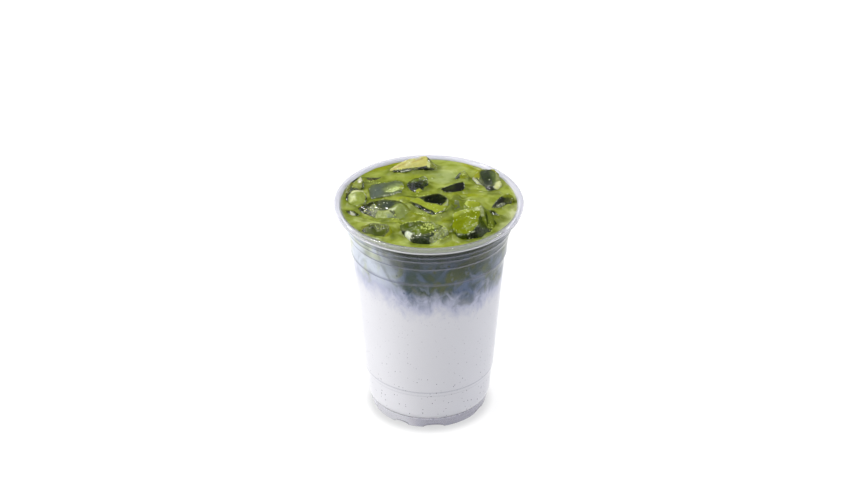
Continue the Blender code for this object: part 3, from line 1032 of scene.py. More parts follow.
body = mix_colour(dt, ramp(dt, cloud, 0.40, 0.66), grey_green, haze)
body = mix_colour(dt, math_node(dt, "MULTIPLY", ramp(dt, patch, 0.50, 0.62),
                                0.85), body, olive)
body = mix_colour(dt, math_node(dt, "MULTIPLY", ramp(dt, wisp, 0.54, 0.74),
                                0.40), body, srgb(150, 160, 190))
body = mix_colour(dt, math_node(dt, "MULTIPLY", ramp(dt, border, 18.0, 32.0),
                                0.75), body, deep_green)
pale_mix = math_node(dt, "MULTIPLY", pale_a,
                     math_node(dt, "MULTIPLY_ADD", ramp(dt, cloud, 0.35, 0.6),
                               0.40, 0.60))
pale_haze = mix_colour(dt, ramp(dt, patch, 0.46, 0.60), pale_haze,
                       srgb(208, 216, 194))
body = mix_colour(dt, pale_mix, body, pale_haze)
side = mix_colour(dt, ramp(dt, edge, -8.0, 7.0), milk_white,
                  srgb(184, 188, 208))
side = mix_colour(dt, ramp(dt, edge, 1.0, 13.0), side, body)
side = mix_colour(dt, attribute(dt, "shadow"), side, srgb(24, 32, 14))
side = mix_colour(dt, attribute(dt, "brim"), side, srgb(164, 178, 104))

# a few dark flakes of tea against the wall: place (mm), radius, colour
FLAKES = (((10.1, -40.9, 107.2), 1.15, (58, 66, 16)),
          ((28.6, -28.2, 91.5), 1.20, (92, 104, 132)),
          ((-16.0, -37.3, 99.5), 0.80, (74, 82, 92)),
          ((-12.5, -37.0, 88.8), 0.90, (84, 96, 112)),
          ((20.5, -36.8, 112.9), 1.20, (96, 108, 40)),
          ((-30.5, -25.6, 93.5), 0.90, (120, 132, 110)))
for spot, size, tint in FLAKES:
    away = node(dt, "ShaderNodeVectorMath", operation="DISTANCE")
    link(dt, place(dt), away.inputs[0])
    away.inputs[1].default_value = spot
    frayed = math_node(dt, "MULTIPLY_ADD", fine_wisp, -1.2 * size,
                       away.outputs["Value"])
    here = math_node(dt, "SUBTRACT", 1.0,
                     ramp(dt, frayed, -0.1 * size, 0.5 * size))
    side = mix_colour(dt, math_node(dt, "MULTIPLY", here, 0.85), side,
                      srgb(*tint))

# dark specks in the milk, thicker towards the bottom
speck = math_node(dt, "MAXIMUM", dots(dt, 0.42, 0.125, 0.48, 1.7),
                  dots(dt, 0.70, 0.15, 0.22, 5.3))
pos = node(dt, "ShaderNodeSeparateXYZ")
link(dt, place(dt), pos.inputs["Vector"])
low_part = ramp(dt, math_node(dt, "MULTIPLY", pos.outputs["Z"], -1.0),
                -62.0, -8.0)
speck = math_node(dt, "MULTIPLY", speck,
                  math_node(dt, "MULTIPLY_ADD", low_part, 0.70, 0.28))
side = mix_colour(dt, speck, side, srgb(96, 92, 104))

# the open surface and the hollows that hold the ice
open_a = attribute(dt, "open")
swirl = noise_tex(dt, place(dt, (1, 1, 1), (2.0, 5.0, 0.0)), 0.11, 4.0, 0.55,
                  1.4)
top_col = colour_attribute(dt, "tone")
shade = node(dt, "ShaderNodeMix", data_type="RGBA", blend_type="MULTIPLY")
shade.inputs[0].default_value = 1.0
link(dt, top_col, shade.inputs[6])
link(dt, mix_colour(dt, ramp(dt, swirl, 0.34, 0.62), (0.70, 0.73, 0.40),
                    (1.06, 1.05, 1.14)), shade.inputs[7])
colour = mix_colour(dt, open_a, side, shade.outputs[2])
link(dt, colour, ds.inputs["Base Color"])

# Colours of the open surface: plan centre, radii, heading, colour, strength
OPEN = (162, 175, 76)
PATCHES = (
    # thin, more yellow drink over ice and against the far wall
    (-20.0, 41.0, 18.0, 3.6, 24.0, (150, 158, 18), 0.9),
    (28.0, 37.0, 16.0, 3.2, -34.0, (152, 160, 21), 0.9),
    (43.0, 18.0, 3.0, 10.0, 18.0, (150, 160, 31), 0.8),
    (-42.0, 15.0, 2.6, 9.0, -16.0, (140, 148, 21), 0.8),
    (20.0, 11.0, 7.5, 4.2, 0.0, (136, 148, 9), 0.9),
    (25.0, 7.0, 7.0, 3.0, -10.0, (148, 160, 24), 0.7),
    (14.1, 4.8, 3.4, 1.7, 0.0, (146, 156, 8), 0.9),
    (16.0, 2.2, 6.0, 1.1, 0.0, (92, 104, 14), 0.7),
    (-6.0, -17.0, 9.5, 3.4, -8.0, (132, 144, 6), 0.95),
    (9.0, -19.0, 3.0, 4.5, 10.0, (140, 150, 12), 0.8),
    (-27.0, -1.6, 10.0, 1.4, 8.0, (128, 138, 8), 0.9),
    (-12.6, 4.6, 5.0, 2.4, -15.0, (156, 168, 18), 0.8),
    (-4.3, 9.6, 7.0, 1.2, 5.0, (112, 124, 8), 0.7),
    (-17.5, -40.5, 6.0, 2.6, 18.0, (150, 160, 24), 0.6),
    (-16.4, -31.0, 2.4, 7.0, -8.0, (140, 152, 24), 0.6),
    (4.0, -45.0, 16.0, 1.6, 0.0, (150, 160, 18), 0.6),
    (13.0, -42.0, 6.0, 3.0, 24.0, (146, 158, 24), 0.5),
    (2.6, 31.5, 4.6, 3.0, -10.0, (98, 112, 30), 0.9),
    (-6.0, 27.0, 4.0, 1.6, 0.0, (120, 132, 24), 0.7),
    (-34.0, -18.0, 5.0, 1.6, -30.0, (118, 130, 20), 0.6),
    (20.0, 19.4, 4.0, 1.6, 8.0, (112, 124, 14), 0.7),
    (33.0, 10.0, 6.0, 1.6, -14.0, (116, 128, 20), 0.7),
    (-14.0, 3.0, 2.0, 3.4, -30.0, (118, 130, 14), 0.6),
    (38.0, -24.0, 1.6, 5.0, -20.0, (120, 134, 40), 0.6),
    # paler, milkier patches, with painted sheen and shade where marked
    (11.0, 36.0, 8.5, 3.6, -10.0, (204, 216, 118), 0.95),
    (9.0, 19.0, 6.0, 1.8, 12.0, (176, 190, 96), 0.7),
    (34.0, 6.0, 6.0, 1.4, -14.0, (176, 188, 88), 0.6),
    (-40.0, -17.0, 4.0, 4.0, 0.0, (172, 186, 100), 0.6),
    (8.0, 30.0, 13.0, 9.0, -8.0, (168, 182, 113), 0.75),
    (-4.0, 29.0, 8.0, 3.0, 5.0, (156, 168, 48), 0.6),
    # two pale strips by the right wall: painted sheen of light
    (42.0, -16.0, 6.0, 14.0, -22.0, (184, 194, 124), 0.9),
    (44.5, -8.0, 2.6, 14.0, -14.0, (200, 206, 151), 0.8),
    (30.0, -36.5, 12.0, 3.2, 38.0, (176, 188, 104), 0.7),
    (-30.0, 1.5, 6.0, 2.0, 20.0, (172, 184, 90), 0.7),
    (-32.0, 12.0, 3.0, 6.0, 5.0, (178, 190, 79), 0.7),
    (3.0, -9.0, 9.0, 3.0, 0.0, (160, 176, 52), 0.7),
    (-5.0, -1.0, 3.0, 3.6, -35.0, (166, 180, 52), 0.7),
    (-15.0, -21.0, 8.0, 2.0, -12.0, (162, 174, 59), 0.6),
    (28.0, -1.0, 5.0, 3.0, 0.0, (172, 182, 95), 0.5),
    (13.0, 37.6, 10.0, 3.6, -10.0, (200, 210, 136), 0.8),
    (-6.0, -41.4, 13.0, 3.2, -6.0, (188, 202, 112), 0.85),
    # thin dark lines in the creases beside the ice: painted shade
    (-8.0, 6.6, 7.0, 1.0, -14.0, (72, 84, 8), 0.85),
    (13.6, -5.0, 1.6, 5.0, -8.0, (104, 118, 22), 0.8),
    (16.0, 4.6, 4.6, 1.2, 10.0, (112, 126, 14), 0.8),
    (7.0, -12.6, 5.0, 1.0, 42.0, (64, 76, 8), 0.85),
    (-5.6, -8.0, 6.0, 1.0, -46.0, (60, 72, 8), 0.9),
    (30.0, -8.0, 5.0, 1.4, -20.0, (84, 98, 14), 0.85),
    (-17.0, -22.0, 6.0, 1.2, 4.0, (104, 118, 14), 0.8),
    (22.0, 13.0, 6.0, 1.2, 6.0, (118, 132, 10), 0.8),
    # paler patch
    (-17.0, -34.0, 2.0, 5.0, -10.0, (156, 170, 88), 0.6),
)
# colour of the hollows that hold the ice, darkened as painted shade
HOLLOW_SHADE = (66, 84, 16)
TOP_GAIN = 0.595


def mix_tone(tone, colour, part):
    c = np.array(srgb(*colour))
    return tone * (1.0 - part[:, None]) + c * part[:, None]


def set_colour(mesh, name, values):
    att = mesh.attributes.new(name, "FLOAT_COLOR", "POINT")
    full = np.ones((len(values), 4), dtype=np.float32)
    full[:, :3] = values
    att.data.foreach_set("color", full.ravel())


for piece in (matcha, milk):
    me = piece.data
    co = coords(me) / MM
    x, y, z = co[:, 0], co[:, 1], co[:, 2]
    r = np.hypot(x, y)
    inside = (r < drink_r(z) - 0.6) & (z > 95.0)
    on_top = (z > LEVEL - 1.2) & (r < top_r + 0.5) if piece is matcha \
        else np.zeros(len(co), dtype=bool)
    side_ring = (r > drink_r(z) - 0.02) & (z < LEVEL + 0.3)
    is_open = ((inside | on_top) & ~side_ring).astype(float)
    p = np.stack([x, y, np.zeros_like(x)], 1)
    tone = np.tile(np.array(srgb(*OPEN)), (len(co), 1))
    for cx, cy, rx, ry, head, colour, strength in PATCHES:
        e = ellipse(x, y, cx, cy, rx, ry, head)
        e = e + 0.22 * edge_noise(p, 3.5, 2)
        tone = mix_tone(tone, colour, strength * (1 - smoothstep(0.55, 1.2, e)))
    tone = mix_tone(tone, (196, 202, 168),
                    0.55 * smoothstep(top_r - 1.6, top_r, r) * (y < 20))
    if piece is matcha:
        # thinner and more yellow where it laps over ice, and darker there as
        # painted shade at the foot of the ice
        gap = np.full(len(co), 6.0)
        gap[on_top] = ice_gap(x[on_top], y[on_top])
        tone = mix_tone(tone, (106, 120, 10), 0.85 * np.exp(-(gap / 2.5) ** 2)
                        * smoothstep(-0.6, 0.1, edge_noise(p, 5.0, 2)))
    # drink below the level, round the ice, darkened as painted shade, with
    # lighter green flecks in it
    sunk_shade = smoothstep(LEVEL - 0.2, LEVEL - 1.3, z) * ~side_ring
    speckle = 0.5 + 0.5 * edge_noise(co, 2.6, 3)
    tone = mix_tone(tone, HOLLOW_SHADE, sunk_shade)
    tone = mix_tone(tone, (128, 146, 36), 0.8 * sunk_shade
                    * smoothstep(0.50, 0.74, speckle)
                    * smoothstep(LEVEL - 9.0, LEVEL - 1.0, z))
    set_attribute(me, "open", is_open)
    set_attribute(me, "border", z - blend_height(x, y))
    # paler towards the left and, less so, the right; azimuth 0 in front
    az = np.degrees(np.arctan2(x, -y))
    wave = 9.0 * edge_noise(np.stack([x, y, z * 0.6], 1), 12.0, 3)
    pale = smoothstep(-16.0, -46.0, az + wave) \
        * (1.0 - 0.74 * smoothstep(-110.0, -170.0, az))
    pale = np.maximum(pale, 0.26 * smoothstep(30.0, 66.0, az + wave))
    set_attribute(me, "pale", pale)
    set_attribute(me, "shadow", 0.9 * smoothstep(113.6, 115.1, z)
                  * smoothstep(117.8, 117.0, z) * (1 - 0.75 * pale)
                  * smoothstep(84.0, 56.0, np.abs(az)))
    set_attribute(me, "brim", 0.92 * np.maximum(
        smoothstep(117.2, 118.0, z), smoothstep(114.5, 117.0, z)
        * smoothstep(64.0, 86.0, np.abs(az))))
    set_colour(me, "tone", tone * TOP_GAIN)
    me.materials.clear()
    me.materials.append(drink_mat)

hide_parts("matcha")
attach(matcha, "root")
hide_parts("milk")
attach(milk, "root")

# What lies on the ice, and painted shade, shadow, sheen and highlights where
# marked. Outlines are in plan, mm; block counts from 1.
# (block, outline, colour, cover, frost, and width of a soft edge if any)
FILM = (142, 154, 18)
FILM_DEEP = (112, 124, 7)
PALE = (176, 190, 98)
GREY_FILM_AND_SKY_SHEEN = (108, 120, 84)
COATS_AND_PAINTED_LIGHT = (
    # far block: thin tan drink on its sloping face
    (1, ((-22.5, 33.4), (-21.5, 36.8), (-16.8, 40.2), (-10.0, 43.6),
         (-1.2, 45.4), (0.6, 36.8), (-2.6, 36.3)), (208, 204, 110), 0.93, 0.0),
    (1, ((-19.0, 36.0), (-11.0, 39.6), (-3.0, 42.0), (-3.4, 41.2),
         (-11.0, 38.6), (-18.6, 35.0)), (186, 170, 92), 0.93, 0.0, 0.3),
    (1, ((-14.0, 41.6), (-6.0, 44.4), (-2.0, 45.0), (-2.4, 44.2),
         (-7.0, 43.4), (-13.6, 40.8)), (192, 172, 110), 0.93, 0.0, 0.3),
    (1, ((0.4, 35.4), (4.6, 35.8), (6.0, 38.6), (2.4, 43.8), (0.4, 43.0)),
     (132, 142, 44), 0.82, 0.10, 0.5),
    (1, ((-13.6, 36.0), (-11.0, 40.5), (-8.6, 41.5), (-10.4, 36.2)),
     (226, 222, 150), 0.9, 0.0, 0.8),
    (1, ((-7.0, 41.0), (-4.6, 42.0), (-5.0, 44.5), (-8.0, 43.8)),
     (196, 188, 150), 0.9, 0.25),
    (1, ((-1.2, 36.0), (0.6, 35.2), (1.0, 39.0), (-1.0, 40.5)),
     (206, 212, 122), 0.9, 0.2),
    # left pair, pale and cloudy
    (2, ((-42.0, -0.5), (-41.6, 5.0), (-39.8, 7.6), (-33.0, 8.0),
         (-32.5, 0.0), (-37.5, -3.7)), (148, 164, 58), 0.90, 0.05),
    (2, ((-40.8, -0.5), (-40.6, 4.0), (-38.4, 5.4), (-37.6, 0.6)),
     (196, 206, 124), 0.92, 0.30, 0.8),
    (2, ((-40.0, 6.4), (-38.6, 8.2), (-34.0, 8.4), (-33.6, 7.2)),
     (216, 220, 160), 0.9, 0.5, 0.5),
    (3, ((-40.5, 12.5), (-38.8, 17.0), (-36.0, 21.6), (-34.4, 17.2),
         (-35.6, 12.6)), (150, 162, 52), 0.88, 0.12),
    (3, ((-37.6, 17.5), (-35.6, 20.8), (-34.6, 18.0), (-36.0, 16.0)),
     (214, 208, 184), 0.9, 0.5),
    (3, ((-43.4, 8.0), (-42.8, 14.0), (-40.6, 17.8), (-39.6, 16.0),
         (-41.4, 11.6), (-41.8, 8.0)), (112, 116, 9), 0.85, 0.0),
    (4, ((-35.0, 27.0), (-24.0, 28.5), (-26.0, 26.3), (-33.6, 25.0)),
     (108, 106, 92), 0.55, 0.0),
    (4, ((-33.6, 25.0), (-26.4, 25.8), (-27.2, 23.4), (-32.4, 22.8)),
     (96, 92, 44), 0.7, 0.0),
    # flat wet block: a grey film of drink, its grey partly a painted reflection
    # of the sky
    (5, ((-32.0, 3.0), (-32.0, 18.0), (-18.0, 24.0), (-12.0, 22.0),
         (-12.5, 15.0), (-14.0, 9.0)), GREY_FILM_AND_SKY_SHEEN, 0.80, 0.0),
    (5, ((-30.0, 4.0), (-30.0, 14.0), (-24.0, 18.0), (-24.0, 8.0)),
     (106, 118, 104), 0.80, 0.0, 2.0),
    (5, ((-24.0, 13.0), (-17.0, 19.5), (-13.0, 18.5), (-18.0, 14.0),
         (-22.0, 10.0)), (158, 174, 108), 0.80, 0.0, 1.6),
    (5, ((-22.5, 10.4), (-20.0, 13.6), (-17.4, 15.6), (-14.6, 15.0),
         (-15.6, 11.6), (-19.0, 9.8)), (186, 208, 92), 0.88, 0.50, 0.6),
    (5, ((-15.4, 12.0), (-15.4, 17.0), (-12.4, 17.0), (-12.4, 12.0)),
     (162, 178, 30), 0.9, 0.25, 0.5),
    # dark cube behind the middle, with a swelling of drink on its foot
    (6, ((-7.0, 9.0), (-7.0, 13.0), (-5.2, 14.4), (-3.0, 13.8), (-2.6, 10.6),
         (-5.0, 8.6)), (164, 176, 37), 0.95, 0.0),
    (6, ((-2.6, 12.6), (-1.4, 14.6), (0.4, 17.0), (0.6, 13.0)),
     (140, 150, 18), 0.8, 0.35),
    # left block
    (7, ((-32.6, -6.0), (-28.7, -3.2), (-23.1, -2.2), (-16.0, -3.0),
         (-17.0, -4.6), (-23.2, -4.4), (-28.4, -5.6)), (132, 142, 6),
     0.92, 0.0),
    # grey film on its flat top: its grey is a painted reflection of the sky
    (7, ((-25.0, -5.0), (-17.0, -5.0), (-17.0, -9.0), (-20.0, -12.0),
         (-25.0, -11.6)), (90, 102, 84), 0.55, 0.0, 1.6),
    (7, ((-19.4, -11.6), (-16.0, -6.6), (-11.0, -3.4), (-7.0, -8.0),
         (-11.6, -16.4), (-16.4, -18.6), (-17.6, -14.0)), (158, 174, 88),
     0.86, 0.05, 1.0),
    (7, ((-13.6, -5.0), (-9.4, -4.4), (-7.4, -8.6), (-9.6, -12.8),
         (-11.0, -9.0)), (122, 134, 26), 0.85, 0.0, 0.9),
    (7, ((-31.0, -9.6), (-27.0, -9.0), (-24.6, -13.4), (-28.6, -15.4)),
     (196, 206, 150), 0.35, 0.42, 0.8),
    (7, ((-28.6, -16.6), (-25.9, -13.6), (-20.8, -13.4), (-18.4, -14.6),
         (-18.4, -18.4), (-20.8, -20.6), (-26.0, -18.4)), (176, 190, 104),
     0.86, 0.24, 0.6),
    (7, ((-22.0, -15.4), (-18.4, -14.8), (-16.4, -17.4), (-20.6, -18.8)),
     (150, 164, 132), 0.78, 0.10, 0.7),
    (7, ((-26.4, -17.8), (-22.0, -17.4), (-19.6, -19.0), (-21.8, -21.0),
         (-26.0, -19.6)), (148, 158, 12), 0.95, 0.0, 0.5),
    (7, ((-20.8, -12.8), (-18.0, -11.6), (-16.0, -9.4), (-17.0, -11.8),
         (-18.6, -13.8)), (226, 236, 176), 0.90, 0.45, 0.5),
    # sliver by the left wall, its pale frost also its painted highlight
    (8, ((-40.0, -10.2), (-37.6, -12.4), (-38.6, -14.0), (-41.2, -12.2)),
     (220, 220, 190), 0.5, 0.5),
    # front left
    (9, ((-30.4, -26.6), (-21.2, -28.0), (-20.2, -31.2), (-24.0, -30.6),
         (-30.0, -28.8)), (118, 126, 60), 0.75, 0.16, 0.6),
    # dark body and darker core: painted shade seen into the clear ice
    (9, ((-32.0, -29.4), (-21.0, -31.4), (-21.6, -36.0), (-28.0, -37.6),
         (-32.4, -34.0)), (78, 92, 4), 0.88, 0.0, 1.0),
    (9, ((-30.0, -30.0), (-24.0, -31.4), (-25.0, -33.4), (-29.0, -32.4)),
     (38, 48, 4), 0.75, 0.0, 0.9),
    (9, ((-28.0, -31.0), (-22.0, -31.6), (-22.4, -33.6), (-26.0, -33.8)),
     (120, 134, 40), 0.50, 0.34, 0.7),
    (9, ((-35.0, -26.6), (-31.2, -26.0), (-30.6, -28.6), (-34.6, -29.8)),
     (126, 134, 12), 0.9, 0.0),
    (9, ((-20.4, -29.0), (-17.6, -31.0), (-18.4, -37.2), (-22.6, -39.8),
         (-27.4, -38.8), (-22.8, -37.0), (-20.2, -33.4)), (156, 166, 20),
     0.92, 0.0, 0.6),
    # front
    (10, ((-15.6, -26.4), (-11.3, -25.6), (-4.5, -25.8), (1.8, -27.0),
          (7.6, -31.0), (4.2, -34.4), (-1.7, -38.4), (-7.6, -38.8),
          (-12.0, -33.0)), (76, 92, 0), 0.97, 0.0),
    (10, ((-9.0, -32.6), (-2.0, -32.0), (0.0, -35.6), (-6.0, -37.8)),
     (104, 122, 0), 0.97, 0.0, 1.0),
    # dark lower part: painted shade seen into the clear ice
    (10, ((-7.6, -39.4), (-1.7, -39.2), (4.0, -36.0), (3.0, -43.0),
          (-3.0, -45.0), (-9.0, -43.0)), (50, 66, 28), 0.72, 0.03, 0.6),
    (10, ((-13.4, -27.4), (-8.0, -27.4), (-5.0, -31.0), (-10.0, -31.4)),
     (74, 88, 0), 0.97, 0.0, 0.8),
    (10, ((-2.4, -28.6), (4.6, -29.0), (5.6, -32.6), (0.0, -34.6)),
     (120, 136, 6), 0.94, 0.22, 0.6),
    (10, ((-12.6, -33.4), (-10.6, -34.0), (-8.6, -37.6), (-8.8, -40.4),
          (-11.0, -38.6)), (212, 218, 206), 0.88, 0.7),
    (10, ((3.6, -36.6), (7.4, -31.4), (10.6, -31.0), (10.4, -36.0),
          (5.8, -41.0), (2.2, -43.8), (0.6, -41.6)), (124, 140, 36),
     0.72, 0.42),
    # middle window with drink lying round it
    (11, ((-11.2, 1.8), (-5.6, 3.6), (-1.6, -1.6), (6.4, -6.2), (9.4, -1.0),
          (9.6, 3.0), (11.6, 2.0), (11.4, -6.0), (7.6, -11.0), (3.4, -13.8),
          (-1.2, -8.4), (-6.0, -3.0)), (160, 174, 53), 0.97, 0.0),
    (11, ((7.6, 5.0), (9.4, 2.6), (9.6, -2.0), (7.4, -6.0), (10.6, -4.6),
          (11.4, 0.0), (10.2, 4.4)), (196, 204, 151), 0.85, 0.1),
    # wedge behind: bright drink on its top edge, and near-black painted shadow
    # in the under-cut below it
    (12, ((5.0, 12.0), (6.7, 14.4), (13.1, 16.0), (19.4, 18.0),
          (19.4, 13.0), (13.0, 11.0)), (15, 19, 1), 0.90, 0.0, 0.5),
    (12, ((5.0, 14.4), (6.7, 15.2), (13.1, 16.8), (19.4, 18.8), (18.8, 17.5),
          (13.2, 15.5), (7.0, 14.0)), (132, 146, 4), 0.95, 0.0, 0.4),
    (12, ((8.0, 12.4), (10.0, 14.4), (14.0, 15.2), (13.0, 12.6)),
     (46, 56, 2), 0.85, 0.0, 1.2),
    # small one behind
    (13, ((16.6, 25.6), (17.0, 29.4), (19.0, 31.4), (21.4, 27.4),
          (20.6, 25.0)), (160, 174, 52), 0.72, 0.15),
    (13, ((16.2, 24.6), (16.0, 27.0), (18.6, 27.4), (19.0, 25.4)),
     (140, 154, 8), 0.8, 0.0),
    # bluish grey on its left edge: painted reflection of the sky
    (13, ((13.6, 26.4), (15.6, 29.4), (17.0, 30.0), (15.6, 27.4),
          (14.6, 26.0)), (124, 138, 150), 0.5, 0.0),
    # far right
    (14, ((22.2, 25.8), (24.6, 28.4), (26.9, 30.0), (29.0, 27.4),
          (27.6, 24.6), (25.4, 22.6)), (150, 158, 6), 0.88, 0.0),
    (14, ((27.6, 28.4), (30.0, 26.0), (29.0, 24.0), (27.4, 26.0)),
     (108, 110, 3), 0.8, 0.0),
    (14, ((22.0, 26.2), (23.4, 26.0), (26.6, 20.2), (29.6, 15.6),
          (28.8, 14.4), (25.2, 19.4)), (206, 206, 180), 0.62, 0.75),
    (14, ((24.4, 25.0), (26.8, 23.2), (30.0, 17.6), (29.4, 16.0),
          (26.4, 20.6)), (78, 90, 12), 0.6, 0.2),
    # dark centre: painted shade seen into the clear ice
    (14, ((26.6, 27.4), (33.0, 28.4), (35.6, 24.0), (33.6, 17.0),
          (29.8, 17.0), (27.0, 22.4)), (38, 52, 12), 0.88, 0.0, 0.8),
    (14, ((32.0, 26.4), (35.2, 25.4), (35.8, 20.0), (33.8, 17.6),
          (33.2, 21.6)), (92, 112, 44), 0.80, 0.04, 1.2),
    (14, ((32.0, 28.4), (34.4, 29.0), (37.2, 25.8), (36.0, 23.6),
          (34.2, 26.0)), (168, 172, 37), 0.8, 0.0),
    (14, ((35.2, 25.0), (37.0, 24.6), (38.8, 18.6), (36.0, 17.0),
          (35.0, 21.0)), (160, 174, 68), 0.6, 0.15),
    (14, ((34.8, 19.0), (37.6, 20.2), (38.6, 18.0), (36.2, 14.2),
          (33.8, 15.0)), (220, 226, 142), 0.8, 0.5),
    # by the right wall
    # dark face: painted shade seen into the clear ice
    (15, ((31.6, -5.0), (33.6, -1.8), (37.6, 2.0), (41.0, 1.2),
          (40.0, -2.0), (36.0, -4.6)), (24, 30, 6), 0.75, 0.0, 0.6),
    (15, ((36.8, 1.6), (39.1, 3.8), (41.4, 4.4), (44.4, 2.0), (43.4, -0.6),
          (41.4, 0.6), (38.6, 0.6)), (124, 136, 6), 0.88, 0.0, 0.6),
    (15, ((38.6, -1.6), (40.4, 1.6), (42.0, 0.8), (41.4, -1.6)),
     (70, 80, 6), 0.8, 0.0, 0.8),
    (15, ((31.6, -5.0), (33.6, -1.8), (36.3, 1.6), (35.9, 0.4),
          (33.2, -3.6)), (176, 182, 140), 0.6, 0.3, 0.3),
    (15, ((35.0, -4.0), (39.0, -2.6), (39.6, -3.8), (35.6, -5.4)),
     (190, 198, 160), 0.4, 0.5, 0.4),
    # the big block: its left face carries a sheet of drink
    (16, ((10.0, -15.0), (40.0, -12.0), (40.0, -40.0), (10.0, -40.0)),
     (70, 86, 10), 0.74, 0.0, 1.0),
    (16, ((27.6, -13.2), (21.0, -14.8), (16.4, -15.2), (11.6, -15.4),
          (10.8, -27.9), (12.6, -32.4), (14.9, -36.2), (18.0, -37.6),
          (22.2, -35.2), (24.9, -30.9), (25.8, -24.0)), (122, 136, 0),
     0.98, 0.0),
    (16, ((13.0, -22.0), (20.0, -21.0), (22.0, -30.0), (17.0, -34.0)),
     (124, 138, 2), 0.97, 0.0, 2.5),
    (16, ((12.0, -16.0), (19.0, -15.6), (22.0, -18.0), (14.0, -19.6),
          (11.6, -19.0)), (158, 172, 60), 0.95, 0.0, 1.0),
    (16, ((21.0, -16.4), (27.0, -13.6), (26.8, -18.6), (23.4, -18.4)),
     (168, 180, 92), 0.80, 0.36, 0.6),
    (16, ((26.4, -19.0), (27.4, -14.6), (30.6, -13.6), (33.0, -18.0),
          (33.4, -27.0), (30.0, -30.0), (27.0, -26.0)), (122, 138, 20),
     0.86, 0.04, 0.9),
    (16, ((28.4, -18.0), (29.6, -17.0), (30.8, -28.0), (29.4, -28.6)),
     (64, 78, 8), 0.85, 0.0, 0.6),
    # pale edge: frost, and a painted highlight on the ridge
    (16, ((26.4, -16.0), (27.6, -14.4), (28.0, -22.0), (26.8, -24.0)),
     (176, 188, 110), 0.6, 0.34, 0.4),
    # dark lower bands: painted shade seen into the clear ice
    (16, ((24.4, -38.0), (28.0, -36.4), (33.4, -30.2), (31.0, -29.0),
          (26.0, -33.6)), (52, 66, 10), 0.84, 0.03, 0.7),
    (16, ((19.0, -39.0), (24.0, -37.8), (26.0, -33.6), (25.0, -31.6),
          (22.4, -35.8)), (28, 38, 6), 0.84, 0.03, 0.7),
    # flat one left of it
    (17, ((11.0, -12.0), (11.0, 2.6), (18.0, 2.6), (18.0, -12.0)),
     (124, 132, 86), 0.90, 0.0, 0.8),
    (17, ((12.6, -7.6), (13.0, -2.0), (16.4, -2.0), (16.4, -7.6)),
     (104, 112, 74), 0.85, 0.0, 1.4),
    (18, ((17.4, -7.4), (17.4, -2.0), (19.6, 0.4), (27.6, -1.6),
          (26.8, -5.8)), (156, 170, 32), 0.95, 0.0),
    (18, ((17.6, -6.0), (18.0, -2.0), (20.4, -0.2), (20.6, -2.6),
          (19.2, -6.2)), (186, 200, 90), 0.95, 0.0),
    (19, ((33.4, -14.0), (35.6, -13.4), (38.8, -17.6), (36.6, -20.4)),
     (150, 162, 49), 0.6, 0.0),
)

for number, obj in enumerate(ice, start=1):
    me = obj.data
    co = coords(me) / MM
    x, y, z = co[:, 0], co[:, 1], co[:, 2]
    p = np.stack([x, y, z], 1)
    tone = np.tile(np.array(srgb(*PALE)), (len(co), 1))
    cover_v = np.zeros(len(co))
    frost_v = np.zeros(len(co))
    ragged = 0.55 * edge_noise(p, 2.6, 3) + 0.22 * edge_noise(p, 0.9, 2)
    above = smoothstep(LEVEL - 1.6, LEVEL - 0.4, z)
    for block, outline, colour, amount, rough, *more in COATS_AND_PAINTED_LIGHT:
        if block != number:
            continue
        soft = more[0] if more else 0.35
        d = outline_distance(x, y, outline) + ragged
        part = (1.0 - smoothstep(-soft, soft, d)) * above
        tone = mix_tone(tone, colour, part)
        cover_v = cover_v * (1.0 - part) + amount * part
        frost_v = frost_v * (1.0 - part) + rough * part
    set_attribute(me, "cover", cover_v)
    set_attribute(me, "frost", frost_v)
    set_colour(me, "tone", tone * TOP_GAIN)

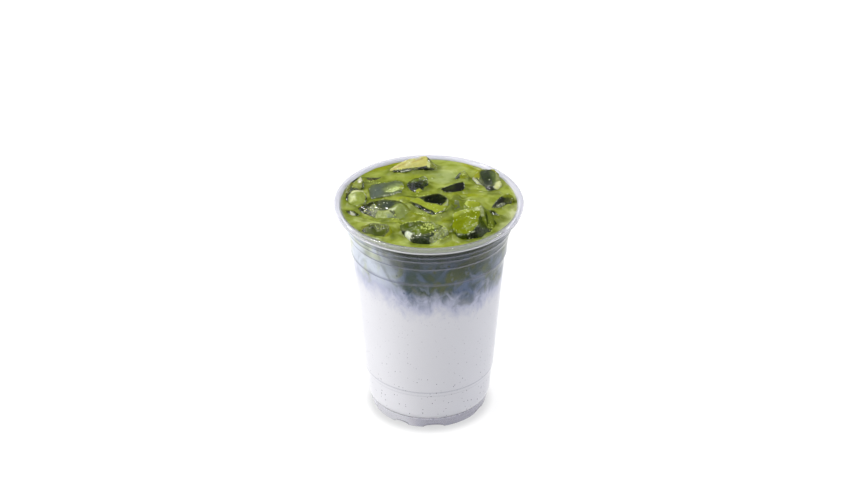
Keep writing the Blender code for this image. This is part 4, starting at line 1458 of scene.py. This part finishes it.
# froth bubbles on the drink and on the wet ice: plan centre, radii, count
FROTH = (
    (-0.8, -32.5, 3.6, 3.0, 46),
    (3.0, -38.0, 4.0, 3.0, 26),
    (-8.0, -27.6, 6.0, 0.9, 12),
    (8.4, -34.0, 2.2, 3.4, 26),
    (-30.0, -10.6, 3.6, 2.6, 22),
    (-18.0, -17.0, 4.0, 2.0, 16),
    (-3.0, -13.5, 5.0, 1.2, 14),
    (5.5, -14.5, 3.0, 1.4, 12),
    (-28.0, 22.0, 4.6, 0.9, 16),
    (-24.5, -31.5, 5.0, 1.6, 12),
    (26.0, 20.6, 1.2, 5.0, 12),
    (20.6, -20.0, 5.0, 4.0, 14),
    (-9.0, 34.6, 9.0, 0.8, 14),
    (31.0, -27.0, 2.2, 5.0, 12),
    (-3.0, 8.4, 5.0, 0.8, 8),
    (18.4, 26.6, 1.2, 1.0, 6),
)
froth_mat, fm, fsh = new_material("froth")
fsh.inputs["Base Color"].default_value = (*srgb(176, 188, 96), 1.0)
fsh.inputs["Roughness"].default_value = 0.12
fsh.inputs["IOR"].default_value = 1.34
top_tree = ice_tree(ice + [matcha])
bubble_rng = random.Random(3)
bm = bmesh.new()
for cx, cy, rx, ry, count in FROTH:
    for _ in range(count):
        a = bubble_rng.uniform(0.0, math.tau)
        q = math.sqrt(bubble_rng.random())
        bx = (cx + rx * q * math.cos(a)) * MM
        by = ((cy + ry * q * math.sin(a)) * 0.9617 + 0.1) * MM
        hit = top_tree.ray_cast(Vector((bx, by, 0.135)), Vector((0, 0, -1)),
                                0.02)
        if hit[0] is None:
            continue
        size = bubble_rng.uniform(0.15, 0.50) ** 1.2 * MM
        made = bmesh.ops.create_icosphere(bm, subdivisions=1, radius=size)
        bmesh.ops.translate(bm, verts=made["verts"],
                            vec=hit[0] + Vector((0, 0, 0.15 * size)))
froth_mesh = bpy.data.meshes.new("froth")
bm.to_mesh(froth_mesh)
bm.free()
froth_mesh.materials.append(froth_mat)
froth_mesh.shade_smooth()
froth = bpy.data.objects.new("froth", froth_mesh)
bpy.context.scene.collection.objects.link(froth)
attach(froth, "root")

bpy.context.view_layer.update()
